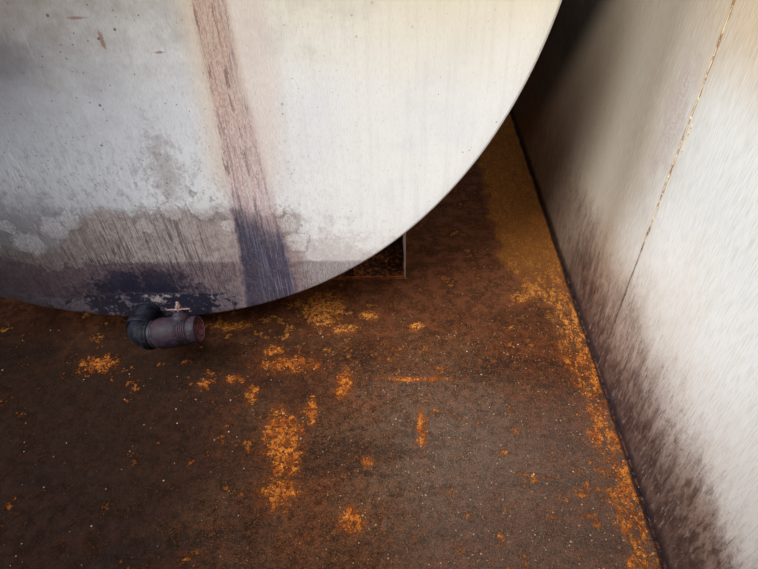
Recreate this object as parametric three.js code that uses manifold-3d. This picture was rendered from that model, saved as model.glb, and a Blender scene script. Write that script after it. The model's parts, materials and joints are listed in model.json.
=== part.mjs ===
// Horizontal storage tank on two saddles, standing in a welded steel dike on a channel skid.
// Millimetres. +X is right as seen from the front head, +Y runs along the tank, +Z is up.
// The origin is the middle of the skid's underside.
import * as THREE from "three";
import { mergeVertices } from "three/addons/utils/BufferGeometryUtils.js";
import Module from "manifold-3d";

const wasm = await Module();
wasm.setup();

// The tank
const TANK_RADIUS = 1219;
const TANK_LENGTH = 4064;
const SHELL_PLATE = 5;
const HEAD_PLATE = 6;
const HEAD_KNUCKLE = 10;
const HEAD_FLANGE = 16;
const FRONT_COURSE = 2438;
const TANK_ABOVE_FLOOR = 100;
const ROUND_STEPS = 96;

// The dike
const BAY_WIDTH = 2976;
const FRONT_BAY = 1357;
const REAR_BAY = 299;
const WALL_HEIGHT = 1219;
const WALL_PLATE = 6;
const FLOOR_PLATE = 6;
const FRONT_SIDE_PLATE = 1219;
const RIM_LEG = 51;
const RIM_THICKNESS = 6;
const STIFFENER_FOOT = 20;

// The skid
const CHANNEL_DEPTH = 152;
const CHANNEL_FLANGE = 56;
const CHANNEL_WEB = 8;
const FLANGE_THICKNESS = 9;

// The saddles
const SADDLE_SETBACK = 305;
const SADDLE_DEPTH = 180;
const SADDLE_HALF_WIDTH = 864;
const SADDLE_BASE = 10;
const SADDLE_WEB = 10;
const END_PLATE = 12;
const RIB_PLATE = 8;
const RIB_PLACES = [222, 666];

// The drain: the valve points a little upwards and its stem leans towards the tank
const DRAIN_HEIGHT = 37;
const DRAIN_SIDE = -12;
const NOZZLE_RADIUS = 36;
const ELBOW_REACH = 116;
const ELBOW_RADIUS = 41;
const ELBOW_BAND_RADIUS = 48;
const ELBOW_BAND_WIDTH = 24;
const ELBOW_LEG = 55;
const DRAIN_BORE = 26;
const VALVE_LENGTH = 160;
const VALVE_END_RADIUS = 45;
const VALVE_BELLY_RADIUS = 50;
const VALVE_MOUTH_RADIUS = 44;
const VALVE_MOUTH_WIDTH = 28;
const VALVE_MOUTH_BORE = 37;
const VALVE_MOUTH_DEPTH = 55;
const VALVE_PITCH = (9 * Math.PI) / 180;
const VALVE_ROLL = (30 * Math.PI) / 180;
const STEM_PLACE = 107;
const BONNET_RADIUS = 31;
const BONNET_TOP_RADIUS = 18;
const BONNET_HEIGHT = 66;
const STEM_RADIUS = 7;
const STEM_HEIGHT = 31;
const NUT_RADIUS = 11;
const HANDLE_SPAN = 92;
const HANDLE_WIDTH = 16;
const HANDLE_TIP_WIDTH = 7;
const HANDLE_PLATE = 3;
const HANDLE_DROP = 12;
const HANDLE_LEVEL = 5;
const HANDLE_TURN = (-15 * Math.PI) / 180;

// The fittings on top
const MANWAY_RADIUS = 305;
const MANWAY_RISE = 150;
const MANWAY_EMBED = 60;
const MANWAY_FLANGE_RADIUS = 356;
const MANWAY_FLANGE = 12;
const COVER_PLATE = 10;
const PIPE_WALL = 6;
const PIPE_EMBED = 10;
const FILL_RADIUS = 45;
const FILL_CAP_RADIUS = 56;
const FILL_HEIGHT = 150;
const VENT_RADIUS = 30;
const VENT_HOOD_RADIUS = 62;
const VENT_HEIGHT = 205;
const EMERGENCY_RADIUS = 84;
const EMERGENCY_HOOD_RADIUS = 125;
const EMERGENCY_HEIGHT = 165;
const LUG_LENGTH = 180;
const LUG_HEIGHT = 130;
const LUG_SHOULDER = 50;
const LUG_TOP = 90;
const LUG_PLATE = 20;
const LUG_HOLE = 26;
const LUG_HOLE_HEIGHT = 75;

// Plugged couplings on the front head and on the front wall
const HEAD_COUPLING_RADIUS = 38;
const HEAD_COUPLING_REACH = 64;
const HEAD_COUPLING_SIDE = 420;
const HEAD_COUPLING_HEIGHT = 2000;
const WALL_COUPLING_RADIUS = 30;
const WALL_COUPLING_REACH = 48;
const WALL_COUPLING_SIDE = -1100;
const WALL_COUPLING_HEIGHT = 60;

// Meshed neighbours that curve or slope keep this much between them
const FIT_GAP = 0.3;

// Places worked out from the sizes above
const wallInside = BAY_WIDTH / 2;
const wallOutside = wallInside + WALL_PLATE;
const bayHalfLength = (FRONT_BAY + TANK_LENGTH + REAR_BAY) / 2;
const dikeHalfLength = bayHalfLength + WALL_PLATE;
const headFront = FRONT_BAY - bayHalfLength;
const headRear = headFront + TANK_LENGTH;
const tankMiddle = headFront + TANK_LENGTH / 2;
const floorTop = CHANNEL_DEPTH + FLOOR_PLATE;
const wallTop = floorTop + WALL_HEIGHT;
const tankAxis = floorTop + TANK_ABOVE_FLOOR + TANK_RADIUS;
const tankTop = tankAxis + TANK_RADIUS;
const sideSeam = FRONT_SIDE_PLATE - bayHalfLength;
const frontSaddle = headFront + SADDLE_SETBACK + SADDLE_DEPTH / 2;
const rearSaddle = 2 * tankMiddle - frontSaddle;
const drainAxis = floorTop + TANK_ABOVE_FLOOR + DRAIN_HEIGHT;

const finishes = {
  paint: { color: 0xd9d6cf, roughness: 0.45, metalness: 0.1 },
  outerPaint: { color: 0xcfccc4, roughness: 0.5, metalness: 0.1 },
  rustyFloor: { color: 0x4a2f22, roughness: 0.9, metalness: 0.3 },
  skid: { color: 0x2e2b29, roughness: 0.7, metalness: 0.4 },
  fitting: { color: 0x3a3a44, roughness: 0.7, metalness: 0.5 },
  valve: { color: 0x4d3a44, roughness: 0.7, metalness: 0.4 },
  handle: { color: 0x9a8484, roughness: 0.5, metalness: 0.6 },
};

const tank = new THREE.Group();

function finishOf(name) {
  return new THREE.MeshStandardMaterial(finishes[name]);
}

function addPiece(name, geometry, finish, parent = tank) {
  const piece = new THREE.Mesh(geometry, finishOf(finish));
  piece.name = name;
  parent.add(piece);
  return piece;
}

function solidOf(geometry) {
  const bare = geometry.clone();
  bare.deleteAttribute("normal");
  bare.deleteAttribute("uv");
  const merged = mergeVertices(bare, 1e-3);
  return new wasm.Manifold(
    new wasm.Mesh({
      numProp: 3,
      vertProperties: new Float32Array(merged.attributes.position.array),
      triVerts: new Uint32Array(merged.index.array),
    }),
  );
}

function geometryOf(solid) {
  const mesh = solid.getMesh();
  const geometry = new THREE.BufferGeometry();
  geometry.setAttribute("position", new THREE.BufferAttribute(mesh.vertProperties, 3));
  geometry.setIndex(new THREE.BufferAttribute(mesh.triVerts, 1));
  return geometry;
}

function joined(geometries) {
  return geometries.map(solidOf).reduce((whole, next) => whole.add(next));
}

// A block between two corners
function block(low, high) {
  const size = high.map((value, i) => value - low[i]);
  const middle = high.map((value, i) => (value + low[i]) / 2);
  return new THREE.BoxGeometry(...size).translate(...middle);
}

function outline(points) {
  return new THREE.Shape(points.map(([x, y]) => new THREE.Vector2(x, y)));
}

// An outline in X and Z, drawn out along +Y from the given start
function drawnAlongY(shape, start, length, curveSegments = 1) {
  return new THREE.ExtrudeGeometry(shape, { depth: length, bevelEnabled: false, curveSegments })
    .rotateX(Math.PI / 2)
    .translate(0, start + length, 0);
}

// An outline in Y and Z, drawn out along +X from the given start
function drawnAlongX(shape, start, length) {
  return new THREE.ExtrudeGeometry(shape, { depth: length, bevelEnabled: false })
    .rotateX(Math.PI / 2)
    .rotateZ(Math.PI / 2)
    .translate(start, 0, 0);
}

// A profile of [radius, height] turned about the upright axis
function turned(profile, steps) {
  const points = profile.map(([radius, height]) => new THREE.Vector2(radius, height));
  return new THREE.LatheGeometry(points, steps);
}

function turnedAboutZ(profile, steps) {
  return turned(profile, steps).rotateX(Math.PI / 2);
}

// Profile heights run along +X
function turnedAboutX(profile, steps) {
  return turned(profile, steps).rotateZ(-Math.PI / 2);
}

function roundBar(radius, low, high) {
  return [
    [0, low],
    [radius, low],
    [radius, high],
    [0, high],
  ];
}

// Skid: two long channels with their webs outside, and cross channels coped between them
function channelOutline(webSide) {
  const tip = webSide - Math.sign(webSide) * CHANNEL_FLANGE;
  const inner = webSide - Math.sign(webSide) * CHANNEL_WEB;
  const top = CHANNEL_DEPTH;
  const points = [
    [webSide, 0],
    [webSide, top],
    [tip, top],
    [tip, top - FLANGE_THICKNESS],
    [inner, top - FLANGE_THICKNESS],
    [inner, FLANGE_THICKNESS],
    [tip, FLANGE_THICKNESS],
    [tip, 0],
  ];
  return outline(points);
}

function skidRunner(side) {
  return drawnAlongY(channelOutline(side * wallOutside), -dikeHalfLength, 2 * dikeHalfLength);
}

function skidCross(webSide) {
  const reach = wallOutside - CHANNEL_WEB;
  const cope = CHANNEL_FLANGE - CHANNEL_WEB;
  const long = drawnAlongX(channelOutline(1), -reach, 2 * reach).translate(0, -1, 0);
  const towardsMiddle = webSide < 0 ? long.rotateZ(Math.PI) : long;
  let cross = solidOf(towardsMiddle.translate(0, webSide, 0));
  for (const side of [-1, 1]) {
    for (const level of [0, CHANNEL_DEPTH - FLANGE_THICKNESS]) {
      const near = side * (reach - cope);
      const far = side * (reach + 1);
      const low = [Math.min(near, far), -dikeHalfLength - 1, level - (level ? 0 : 1)];
      const high = [Math.max(near, far), dikeHalfLength + 1, level + FLANGE_THICKNESS + (level ? 1 : 0)];
      cross = cross.subtract(solidOf(block(low, high)));
    }
  }
  return geometryOf(cross);
}

addPiece("skid_runner_left", skidRunner(-1), "skid");
addPiece("skid_runner_right", skidRunner(1), "skid");
addPiece("skid_cross_front", skidCross(-dikeHalfLength), "skid");
addPiece("skid_cross_front_saddle", skidCross(frontSaddle), "skid");
addPiece("skid_cross_rear_saddle", skidCross(rearSaddle), "skid");
addPiece("skid_cross_rear", skidCross(dikeHalfLength), "skid");

// Dike: floor plate, wall plates with a seam on each side, rim angles and outside stiffeners
const dikeFloor = block(
  [-wallOutside, -dikeHalfLength, CHANNEL_DEPTH],
  [wallOutside, dikeHalfLength, floorTop],
);
addPiece("dike_floor", dikeFloor, "rustyFloor");

function endWall(side) {
  const inner = side * bayHalfLength;
  const outer = side * dikeHalfLength;
  return block(
    [-wallOutside, Math.min(inner, outer), floorTop],
    [wallOutside, Math.max(inner, outer), wallTop],
  );
}

function sideWall(side, from, to) {
  const inner = side * wallInside;
  const outer = side * wallOutside;
  return block(
    [Math.min(inner, outer), from, floorTop],
    [Math.max(inner, outer), to, wallTop],
  );
}

addPiece("dike_wall_front", endWall(-1), "paint");
addPiece("dike_wall_rear", endWall(1), "paint");
for (const [label, side] of [["left", -1], ["right", 1]]) {
  addPiece(`dike_wall_${label}_front`, sideWall(side, -bayHalfLength, sideSeam), "paint");
  addPiece(`dike_wall_${label}_rear`, sideWall(side, sideSeam, bayHalfLength), "paint");
}

// An angle with one leg against the plane at wall and the other standing out from it
function angleOutline(wall, side, top) {
  const face = wall + side * RIM_THICKNESS;
  const tip = wall + side * RIM_LEG;
  return outline([
    [wall, top - RIM_LEG],
    [wall, top],
    [tip, top],
    [tip, top - RIM_THICKNESS],
    [face, top - RIM_THICKNESS],
    [face, top - RIM_LEG],
  ]);
}

function rimAlongY(side) {
  return drawnAlongY(angleOutline(side * wallOutside, side, wallTop), -dikeHalfLength, 2 * dikeHalfLength);
}

function rimAlongX(side) {
  const reach = wallOutside + RIM_LEG;
  return drawnAlongX(angleOutline(side * dikeHalfLength, side, wallTop), -reach, 2 * reach);
}

addPiece("dike_rim_left", rimAlongY(-1), "outerPaint");
addPiece("dike_rim_right", rimAlongY(1), "outerPaint");
addPiece("dike_rim_front", rimAlongX(-1), "outerPaint");
addPiece("dike_rim_rear", rimAlongX(1), "outerPaint");

// An upright angle against the outside of a wall, from the skid up to the rim angle
function stiffener() {
  const plan = outline([
    [0, -RIM_LEG / 2],
    [RIM_THICKNESS, -RIM_LEG / 2],
    [RIM_THICKNESS, RIM_LEG / 2 - RIM_THICKNESS],
    [RIM_LEG, RIM_LEG / 2 - RIM_THICKNESS],
    [RIM_LEG, RIM_LEG / 2],
    [0, RIM_LEG / 2],
  ]);
  const depth = wallTop - RIM_LEG - STIFFENER_FOOT;
  return new THREE.ExtrudeGeometry(plan, { depth, bevelEnabled: false });
}

function addStiffener(name, x, y, turn) {
  const piece = addPiece(name, stiffener().rotateZ(turn), "outerPaint");
  piece.position.set(x, y, STIFFENER_FOOT);
}

const stiffenerPitch = (bayHalfLength - sideSeam) / 3;
for (const [label, side] of [["left", -1], ["right", 1]]) {
  for (let i = 0; i < 3; i += 1) {
    const turn = side < 0 ? Math.PI : 0;
    addStiffener(`stiffener_${label}_${i + 1}`, side * wallOutside, sideSeam + i * stiffenerPitch, turn);
  }
}
addStiffener("stiffener_front", 0, -dikeHalfLength, -Math.PI / 2);
addStiffener("stiffener_rear", 0, dikeHalfLength, Math.PI / 2);

// A long cylinder that follows the shell's facets, used to fit pieces against the tank
function tankCylinder(growth) {
  const bar = roundBar(TANK_RADIUS + growth, headFront, headRear);
  return solidOf(turned(bar, ROUND_STEPS).translate(0, 0, tankAxis));
}

// Saddles: base plate, upright web, end plates and ribs, all welded, with the tank's curve cut out
function saddle(middle) {
  const near = middle - SADDLE_DEPTH / 2;
  const far = middle + SADDLE_DEPTH / 2;
  const baseTop = floorTop + SADDLE_BASE;
  const hornTop = tankAxis - Math.sqrt(TANK_RADIUS ** 2 - SADDLE_HALF_WIDTH ** 2);
  const plates = [
    block([-SADDLE_HALF_WIDTH, near, floorTop], [SADDLE_HALF_WIDTH, far, baseTop]),
    block(
      [-SADDLE_HALF_WIDTH, middle - SADDLE_WEB / 2, floorTop],
      [SADDLE_HALF_WIDTH, middle + SADDLE_WEB / 2, hornTop],
    ),
  ];
  for (const side of [-1, 1]) {
    const inner = side * (SADDLE_HALF_WIDTH - END_PLATE);
    const outer = side * SADDLE_HALF_WIDTH;
    plates.push(block([Math.min(inner, outer), near, floorTop], [Math.max(inner, outer), far, hornTop]));
    for (const place of RIB_PLACES) {
      const rib = side * place;
      plates.push(block([rib - RIB_PLATE / 2, near, floorTop], [rib + RIB_PLATE / 2, far, hornTop]));
    }
  }
  return geometryOf(joined(plates).subtract(tankCylinder(FIT_GAP)));
}

addPiece("saddle_front", saddle(frontSaddle), "rustyFloor");
addPiece("saddle_rear", saddle(rearSaddle), "rustyFloor");

// Tank shell: two courses, each of a lower and an upper half plate
function halfPlate(start, length, isUpper) {
  const from = isUpper ? 0 : Math.PI;
  const shape = new THREE.Shape();
  shape.absarc(0, 0, TANK_RADIUS, from, from + Math.PI, false);
  shape.absarc(0, 0, TANK_RADIUS - SHELL_PLATE, from + Math.PI, from, true);
  return drawnAlongY(shape, start, length, ROUND_STEPS / 4).translate(0, 0, tankAxis);
}

function uprightHole(radius, y) {
  return solidOf(turnedAboutZ(roundBar(radius, tankAxis, tankTop + 100), 24).translate(0, y, 0));
}

// Flat head: a disc with a small knuckle and a short flange that meets the shell
function flatHead() {
  const inner = HEAD_KNUCKLE - HEAD_PLATE;
  const rim = TANK_RADIUS - HEAD_KNUCKLE;
  const profile = [[0, 0]];
  for (let i = 0; i <= 3; i += 1) {
    const turn = (i / 3) * (Math.PI / 2);
    profile.push([rim + HEAD_KNUCKLE * Math.sin(turn), HEAD_KNUCKLE * (1 - Math.cos(turn))]);
  }
  profile.push([TANK_RADIUS, HEAD_FLANGE], [TANK_RADIUS - HEAD_PLATE, HEAD_FLANGE]);
  for (let i = 2; i >= 0; i -= 1) {
    const turn = (i / 2) * (Math.PI / 2);
    profile.push([rim + inner * Math.sin(turn), HEAD_KNUCKLE - inner * Math.cos(turn)]);
  }
  profile.push([0, HEAD_PLATE]);
  return turned(profile, ROUND_STEPS);
}

const manwayY = tankMiddle;
const fillY = headFront + 800;
const ventY = tankMiddle + 900;
const emergencyVentY = tankMiddle + 1250;
const courseStart = headFront + HEAD_FLANGE;
const courseSeam = courseStart + FRONT_COURSE;
const rearCourse = headRear - HEAD_FLANGE - courseSeam;

const frontUpper = solidOf(halfPlate(courseStart, FRONT_COURSE, true))
  .subtract(uprightHole(MANWAY_RADIUS - SHELL_PLATE - 1, manwayY))
  .subtract(uprightHole(FILL_RADIUS - PIPE_WALL, fillY));
const rearUpper = solidOf(halfPlate(courseSeam, rearCourse, true))
  .subtract(uprightHole(VENT_RADIUS - PIPE_WALL, ventY))
  .subtract(uprightHole(EMERGENCY_RADIUS - PIPE_WALL, emergencyVentY));
addPiece("shell_front_lower", halfPlate(courseStart, FRONT_COURSE, false), "paint");
addPiece("shell_front_upper", geometryOf(frontUpper), "paint");
addPiece("shell_rear_lower", halfPlate(courseSeam, rearCourse, false), "paint");
addPiece("shell_rear_upper", geometryOf(rearUpper), "paint");

const drainHole = turned(roundBar(DRAIN_BORE, -HEAD_PLATE, 2 * HEAD_PLATE), 24);
drainHole.translate(DRAIN_SIDE, headFront, drainAxis);
const frontHead = solidOf(flatHead().translate(0, headFront, tankAxis)).subtract(solidOf(drainHole));
addPiece("head_front", geometryOf(frontHead), "paint");
addPiece("head_rear", flatHead().rotateZ(Math.PI).translate(0, headRear, tankAxis), "paint");

// Drain: half coupling on the head, elbow turned to the right, and a ball valve
function pipeSleeve(outer, inner, low, high) {
  return [
    [inner, low],
    [outer, low],
    [outer, high],
    [inner, high],
    [inner, low],
  ];
}

const nozzleLength = ELBOW_REACH - ELBOW_LEG;
const nozzle = turned(pipeSleeve(NOZZLE_RADIUS, DRAIN_BORE, 0, nozzleLength), 32);
addPiece("drain_nozzle", nozzle.translate(DRAIN_SIDE, headFront - nozzleLength, drainAxis), "fitting");

// The drain line hangs in a group that is turned about the nozzle, with the valve in one of its own
// that is turned about the line's axis
const drainLine = new THREE.Group();
drainLine.position.set(DRAIN_SIDE, headFront - ELBOW_REACH, drainAxis);
drainLine.rotation.y = -VALVE_PITCH;
const valveLine = new THREE.Group();
valveLine.position.x = ELBOW_LEG + FIT_GAP;
valveLine.rotation.x = -VALVE_ROLL;
drainLine.add(valveLine);
tank.add(drainLine);

// The elbow's middle line comes forward out of the nozzle and turns towards +X
function elbow() {
  const bend = (ELBOW_LEG * 3) / 4;
  const path = new THREE.CurvePath();
  const bendStart = new THREE.Vector3(0, bend, 0);
  const bendEnd = new THREE.Vector3(bend, 0, 0);
  const corner = new THREE.Vector3(0, 0, 0);
  path.add(new THREE.LineCurve3(new THREE.Vector3(0, ELBOW_LEG, 0), bendStart));
  path.add(new THREE.QuadraticBezierCurve3(bendStart, corner, bendEnd));
  path.add(new THREE.LineCurve3(bendEnd, new THREE.Vector3(ELBOW_LEG, 0, 0)));
  const section = new THREE.Shape();
  section.absarc(0, 0, ELBOW_RADIUS, 0, 2 * Math.PI, false);
  const body = new THREE.ExtrudeGeometry(section, { steps: 12, curveSegments: 12, extrudePath: path });
  const band = roundBar(ELBOW_BAND_RADIUS, ELBOW_LEG - ELBOW_BAND_WIDTH, ELBOW_LEG);
  const heel = new THREE.SphereGeometry(ELBOW_RADIUS, 24, 16);
  const bore = roundBar(DRAIN_BORE, 0, ELBOW_LEG + 1);
  const core = new THREE.SphereGeometry(DRAIN_BORE, 24, 16);
  const outside = joined([body, turned(band, 32), turnedAboutX(band, 32), heel]);
  return outside.subtract(joined([turned(bore, 24), turnedAboutX(bore, 24), core]));
}

const elbowPiece = addPiece("drain_elbow", geometryOf(elbow()), "fitting", drainLine);
elbowPiece.position.y = -FIT_GAP;

// The valve body lies along +X: inlet end, round ball chamber, and a ringed mouth at the far end
function valveBody() {
  const mouth = VALVE_LENGTH - FIT_GAP;
  const mouthRing = mouth - VALVE_MOUTH_WIDTH;
  const outside = turnedAboutX(
    [
      [0, 0],
      [VALVE_END_RADIUS, 0],
      [VALVE_END_RADIUS, 12],
      [VALVE_BELLY_RADIUS, 30],
      [VALVE_BELLY_RADIUS, 90],
      [VALVE_MOUTH_RADIUS - 2, mouthRing - 6],
      [VALVE_MOUTH_RADIUS - 2, mouthRing],
      [VALVE_MOUTH_RADIUS, mouthRing],
      [VALVE_MOUTH_RADIUS, mouth],
      [0, mouth],
    ],
    32,
  );
  const bonnet = turnedAboutZ(
    [
      [0, 0],
      [BONNET_RADIUS, 0],
      [BONNET_RADIUS, VALVE_MOUTH_RADIUS],
      [BONNET_TOP_RADIUS, BONNET_HEIGHT - 6],
      [BONNET_TOP_RADIUS, BONNET_HEIGHT],
      [0, BONNET_HEIGHT],
    ],
    24,
  ).translate(STEM_PLACE, 0, 0);
  const inletBore = turnedAboutX(roundBar(DRAIN_BORE, -1, VALVE_MOUTH_WIDTH), 24);
  const outletBore = turnedAboutX(roundBar(VALVE_MOUTH_BORE, mouth - VALVE_MOUTH_DEPTH, mouth + 1), 32);
  return joined([outside, bonnet]).subtract(joined([inletBore, outletBore]));
}

addPiece("drain_valve_body", geometryOf(valveBody()), "valve", valveLine);

// Stem with a short flat lever, one of its tips bent down, and a nut that holds it
function valveHandle() {
  const half = HANDLE_SPAN / 2;
  const leverTop = HANDLE_LEVEL + HANDLE_PLATE;
  const nutTop = leverTop + NUT_RADIUS;
  const stem = turnedAboutZ(
    [
      [0, FIT_GAP],
      [STEM_RADIUS, FIT_GAP],
      [STEM_RADIUS, leverTop],
      [NUT_RADIUS, leverTop],
      [NUT_RADIUS, nutTop],
      [STEM_RADIUS, nutTop],
      [STEM_RADIUS, STEM_HEIGHT],
      [0, STEM_HEIGHT],
    ],
    16,
  );
  const plan = outline([
    [-half, -HANDLE_TIP_WIDTH / 2],
    [0, -HANDLE_WIDTH / 2],
    [half, -HANDLE_TIP_WIDTH / 2],
    [half, HANDLE_TIP_WIDTH / 2],
    [0, HANDLE_WIDTH / 2],
    [-half, HANDLE_TIP_WIDTH / 2],
  ]);
  const lever = new THREE.ExtrudeGeometry(plan, { depth: HANDLE_PLATE, bevelEnabled: false });
  const tip = block(
    [half - HANDLE_PLATE, -HANDLE_TIP_WIDTH / 2, leverTop - HANDLE_DROP],
    [half, HANDLE_TIP_WIDTH / 2, leverTop],
  );
  return joined([stem, lever.translate(0, 0, HANDLE_LEVEL), tip]);
}

const handlePiece = addPiece("drain_valve_handle", geometryOf(valveHandle()), "handle", valveLine);
handlePiece.position.set(STEM_PLACE, 0, BONNET_HEIGHT);
handlePiece.rotation.z = HANDLE_TURN;

// Manway: a neck that follows the shell's curve, a ring flange on it, and a bolted cover
const neckTop = tankTop + MANWAY_RISE - MANWAY_FLANGE;
const flangeTop = neckTop + MANWAY_FLANGE;
const throat = MANWAY_RADIUS - SHELL_PLATE;

function ringAboutZ(outer, inner, low, high) {
  const profile = [
    [inner, low],
    [outer, low],
    [outer, high],
    [inner, high],
    [inner, low],
  ];
  return turnedAboutZ(profile, 48).translate(0, manwayY, 0);
}

const neck = solidOf(ringAboutZ(MANWAY_RADIUS, throat, tankTop - MANWAY_EMBED, neckTop));
addPiece("manway_neck", geometryOf(neck.subtract(tankCylinder(FIT_GAP))), "paint");
addPiece("manway_flange", ringAboutZ(MANWAY_FLANGE_RADIUS, throat, neckTop, flangeTop), "paint");
const cover = turnedAboutZ(roundBar(MANWAY_FLANGE_RADIUS, flangeTop, flangeTop + COVER_PLATE), 48);
addPiece("manway_cover", cover.translate(0, manwayY, 0), "paint");

// A pipe standing on the shell's crown, with a cap or hood of the given profile at its top
function crownFitting(radius, top, y) {
  const profile = [[0, tankTop - PIPE_EMBED], [radius, tankTop - PIPE_EMBED], ...top];
  const standing = turnedAboutZ(profile, 24).translate(0, y, 0);
  return geometryOf(solidOf(standing).subtract(tankCylinder(FIT_GAP)));
}

const fillTop = tankTop + FILL_HEIGHT;
const fillCap = [
  [FILL_RADIUS, fillTop - 40],
  [FILL_CAP_RADIUS, fillTop - 40],
  [FILL_CAP_RADIUS, fillTop],
  [0, fillTop],
];
const ventTop = tankTop + VENT_HEIGHT;
const ventHood = [
  [VENT_RADIUS, ventTop - 55],
  [VENT_HOOD_RADIUS, ventTop - 55],
  [VENT_HOOD_RADIUS, ventTop - 30],
  [VENT_RADIUS, ventTop - 5],
  [0, ventTop],
];
const emergencyTop = tankTop + EMERGENCY_HEIGHT;
const emergencyHood = [
  [EMERGENCY_RADIUS, emergencyTop - 75],
  [EMERGENCY_HOOD_RADIUS, emergencyTop - 75],
  [EMERGENCY_HOOD_RADIUS, emergencyTop - 35],
  [EMERGENCY_HOOD_RADIUS / 2, emergencyTop - 5],
  [0, emergencyTop],
];
addPiece("fill_pipe", crownFitting(FILL_RADIUS, fillCap, fillY), "fitting");
addPiece("vent_pipe", crownFitting(VENT_RADIUS, ventHood, ventY), "fitting");
addPiece("emergency_vent", crownFitting(EMERGENCY_RADIUS, emergencyHood, emergencyVentY), "fitting");

// Lifting lugs: upright plates on the crown with a shackle hole
function liftingLug(middle) {
  const half = LUG_LENGTH / 2;
  const shape = outline([
    [-half, 0],
    [half, 0],
    [half, LUG_SHOULDER],
    [LUG_TOP / 2, LUG_HEIGHT],
    [-LUG_TOP / 2, LUG_HEIGHT],
    [-half, LUG_SHOULDER],
  ]);
  const hole = new THREE.Path();
  hole.absarc(0, LUG_HOLE_HEIGHT, LUG_HOLE, 0, 2 * Math.PI, true);
  shape.holes.push(hole);
  return drawnAlongX(shape, -LUG_PLATE / 2, LUG_PLATE).translate(0, middle, tankTop);
}

addPiece("lifting_lug_front", liftingLug(frontSaddle), "paint");
addPiece("lifting_lug_rear", liftingLug(rearSaddle), "paint");

// Half couplings with a square-headed plug: one high on the front head, one low on the front wall
function pluggedCoupling(radius, reach) {
  const plugRadius = radius * 0.45;
  const collarEnd = -reach * 0.7;
  const profile = [
    [0, -reach],
    [plugRadius, -reach],
    [plugRadius, collarEnd],
    [radius, collarEnd],
    [radius, 0],
    [0, 0],
  ];
  return turned(profile, 32);
}

const headCoupling = pluggedCoupling(HEAD_COUPLING_RADIUS, HEAD_COUPLING_REACH);
const headCouplingZ = floorTop + TANK_ABOVE_FLOOR + HEAD_COUPLING_HEIGHT;
addPiece("head_coupling", headCoupling.translate(HEAD_COUPLING_SIDE, headFront, headCouplingZ), "fitting");
const wallCoupling = pluggedCoupling(WALL_COUPLING_RADIUS, WALL_COUPLING_REACH);
wallCoupling.translate(WALL_COUPLING_SIDE, -dikeHalfLength, floorTop + WALL_COUPLING_HEIGHT);
addPiece("dike_drain_coupling", wallCoupling, "fitting");

export default tank;
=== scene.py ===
import functools
import json
import math
import random

import bpy
from mathutils import Matrix, Quaternion, Vector


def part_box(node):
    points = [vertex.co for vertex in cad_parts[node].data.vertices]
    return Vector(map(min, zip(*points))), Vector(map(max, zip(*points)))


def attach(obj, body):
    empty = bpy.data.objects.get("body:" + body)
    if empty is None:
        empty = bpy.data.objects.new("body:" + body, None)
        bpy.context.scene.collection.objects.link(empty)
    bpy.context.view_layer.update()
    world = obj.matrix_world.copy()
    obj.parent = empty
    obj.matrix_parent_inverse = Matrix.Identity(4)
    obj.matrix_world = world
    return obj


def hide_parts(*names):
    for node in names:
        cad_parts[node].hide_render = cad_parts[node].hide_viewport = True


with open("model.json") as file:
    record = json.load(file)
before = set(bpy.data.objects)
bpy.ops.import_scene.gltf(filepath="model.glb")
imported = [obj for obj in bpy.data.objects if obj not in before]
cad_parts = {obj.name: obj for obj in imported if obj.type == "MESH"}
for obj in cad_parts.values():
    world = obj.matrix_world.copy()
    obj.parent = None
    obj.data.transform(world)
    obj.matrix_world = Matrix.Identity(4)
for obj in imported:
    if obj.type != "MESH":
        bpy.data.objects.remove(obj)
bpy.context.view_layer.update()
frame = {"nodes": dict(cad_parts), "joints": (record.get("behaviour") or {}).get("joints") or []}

# Camera: a phone held over the dike's front rim at arm's height above the dike floor, tipped down
# towards the drain, with a lens of 26 mm on full frame.
head_low, head_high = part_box("head_front")
HEAD_Y = head_low.y
TANK_BOTTOM = head_low.z
TANK_RADIUS = (head_high.x - head_low.x) / 2
TANK_AXIS = TANK_BOTTOM + TANK_RADIUS
FLOOR_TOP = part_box("dike_floor")[1].z

camera_data = bpy.data.cameras.new("phone")
camera_data.lens = 26.71
camera_data.sensor_width = 36
camera_data.clip_start = 0.05
camera = bpy.data.objects.new("phone", camera_data)
camera.location = (0.831, HEAD_Y - 1.322, FLOOR_TOP + 1.476)
camera.rotation_mode = "QUATERNION"
turn = Quaternion((0, 0, 1), math.radians(2.53))
tilt = Quaternion((1, 0, 0), math.radians(47.18))
roll = Quaternion((0, 0, 1), math.radians(-2.19))
camera.rotation_quaternion = turn @ tilt @ roll
scene = bpy.context.scene
scene.collection.objects.link(camera)
scene.camera = camera
scene.view_settings.view_transform = "Standard"


# Light: one broad soft source high in front and a little to the left, a weaker one behind, and a
# pale room all round. The floor is a plain pale sheet under the skid.
def soft_light(name, direction, spread, strength, colour):
    data = bpy.data.lights.new(name, "SUN")
    data.angle = math.radians(spread)
    data.energy = strength
    data.color = colour
    light = bpy.data.objects.new(name, data)
    light.rotation_euler = Vector(direction).to_track_quat("-Z", "Y").to_euler()
    scene.collection.objects.link(light)


soft_light("key_light", (0.62, 0.38, -0.69), 50, 5.3, (1, 0.985, 0.97))
soft_light("back_light", (-0.5, -0.6, -0.62), 70, 0.7, (0.94, 0.97, 1))

room = bpy.data.worlds.new("room")
room.use_nodes = True
room.node_tree.nodes["Background"].inputs["Color"].default_value = (0.93, 0.96, 1, 1)
room.node_tree.nodes["Background"].inputs["Strength"].default_value = 0.45
scene.world = room

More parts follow.
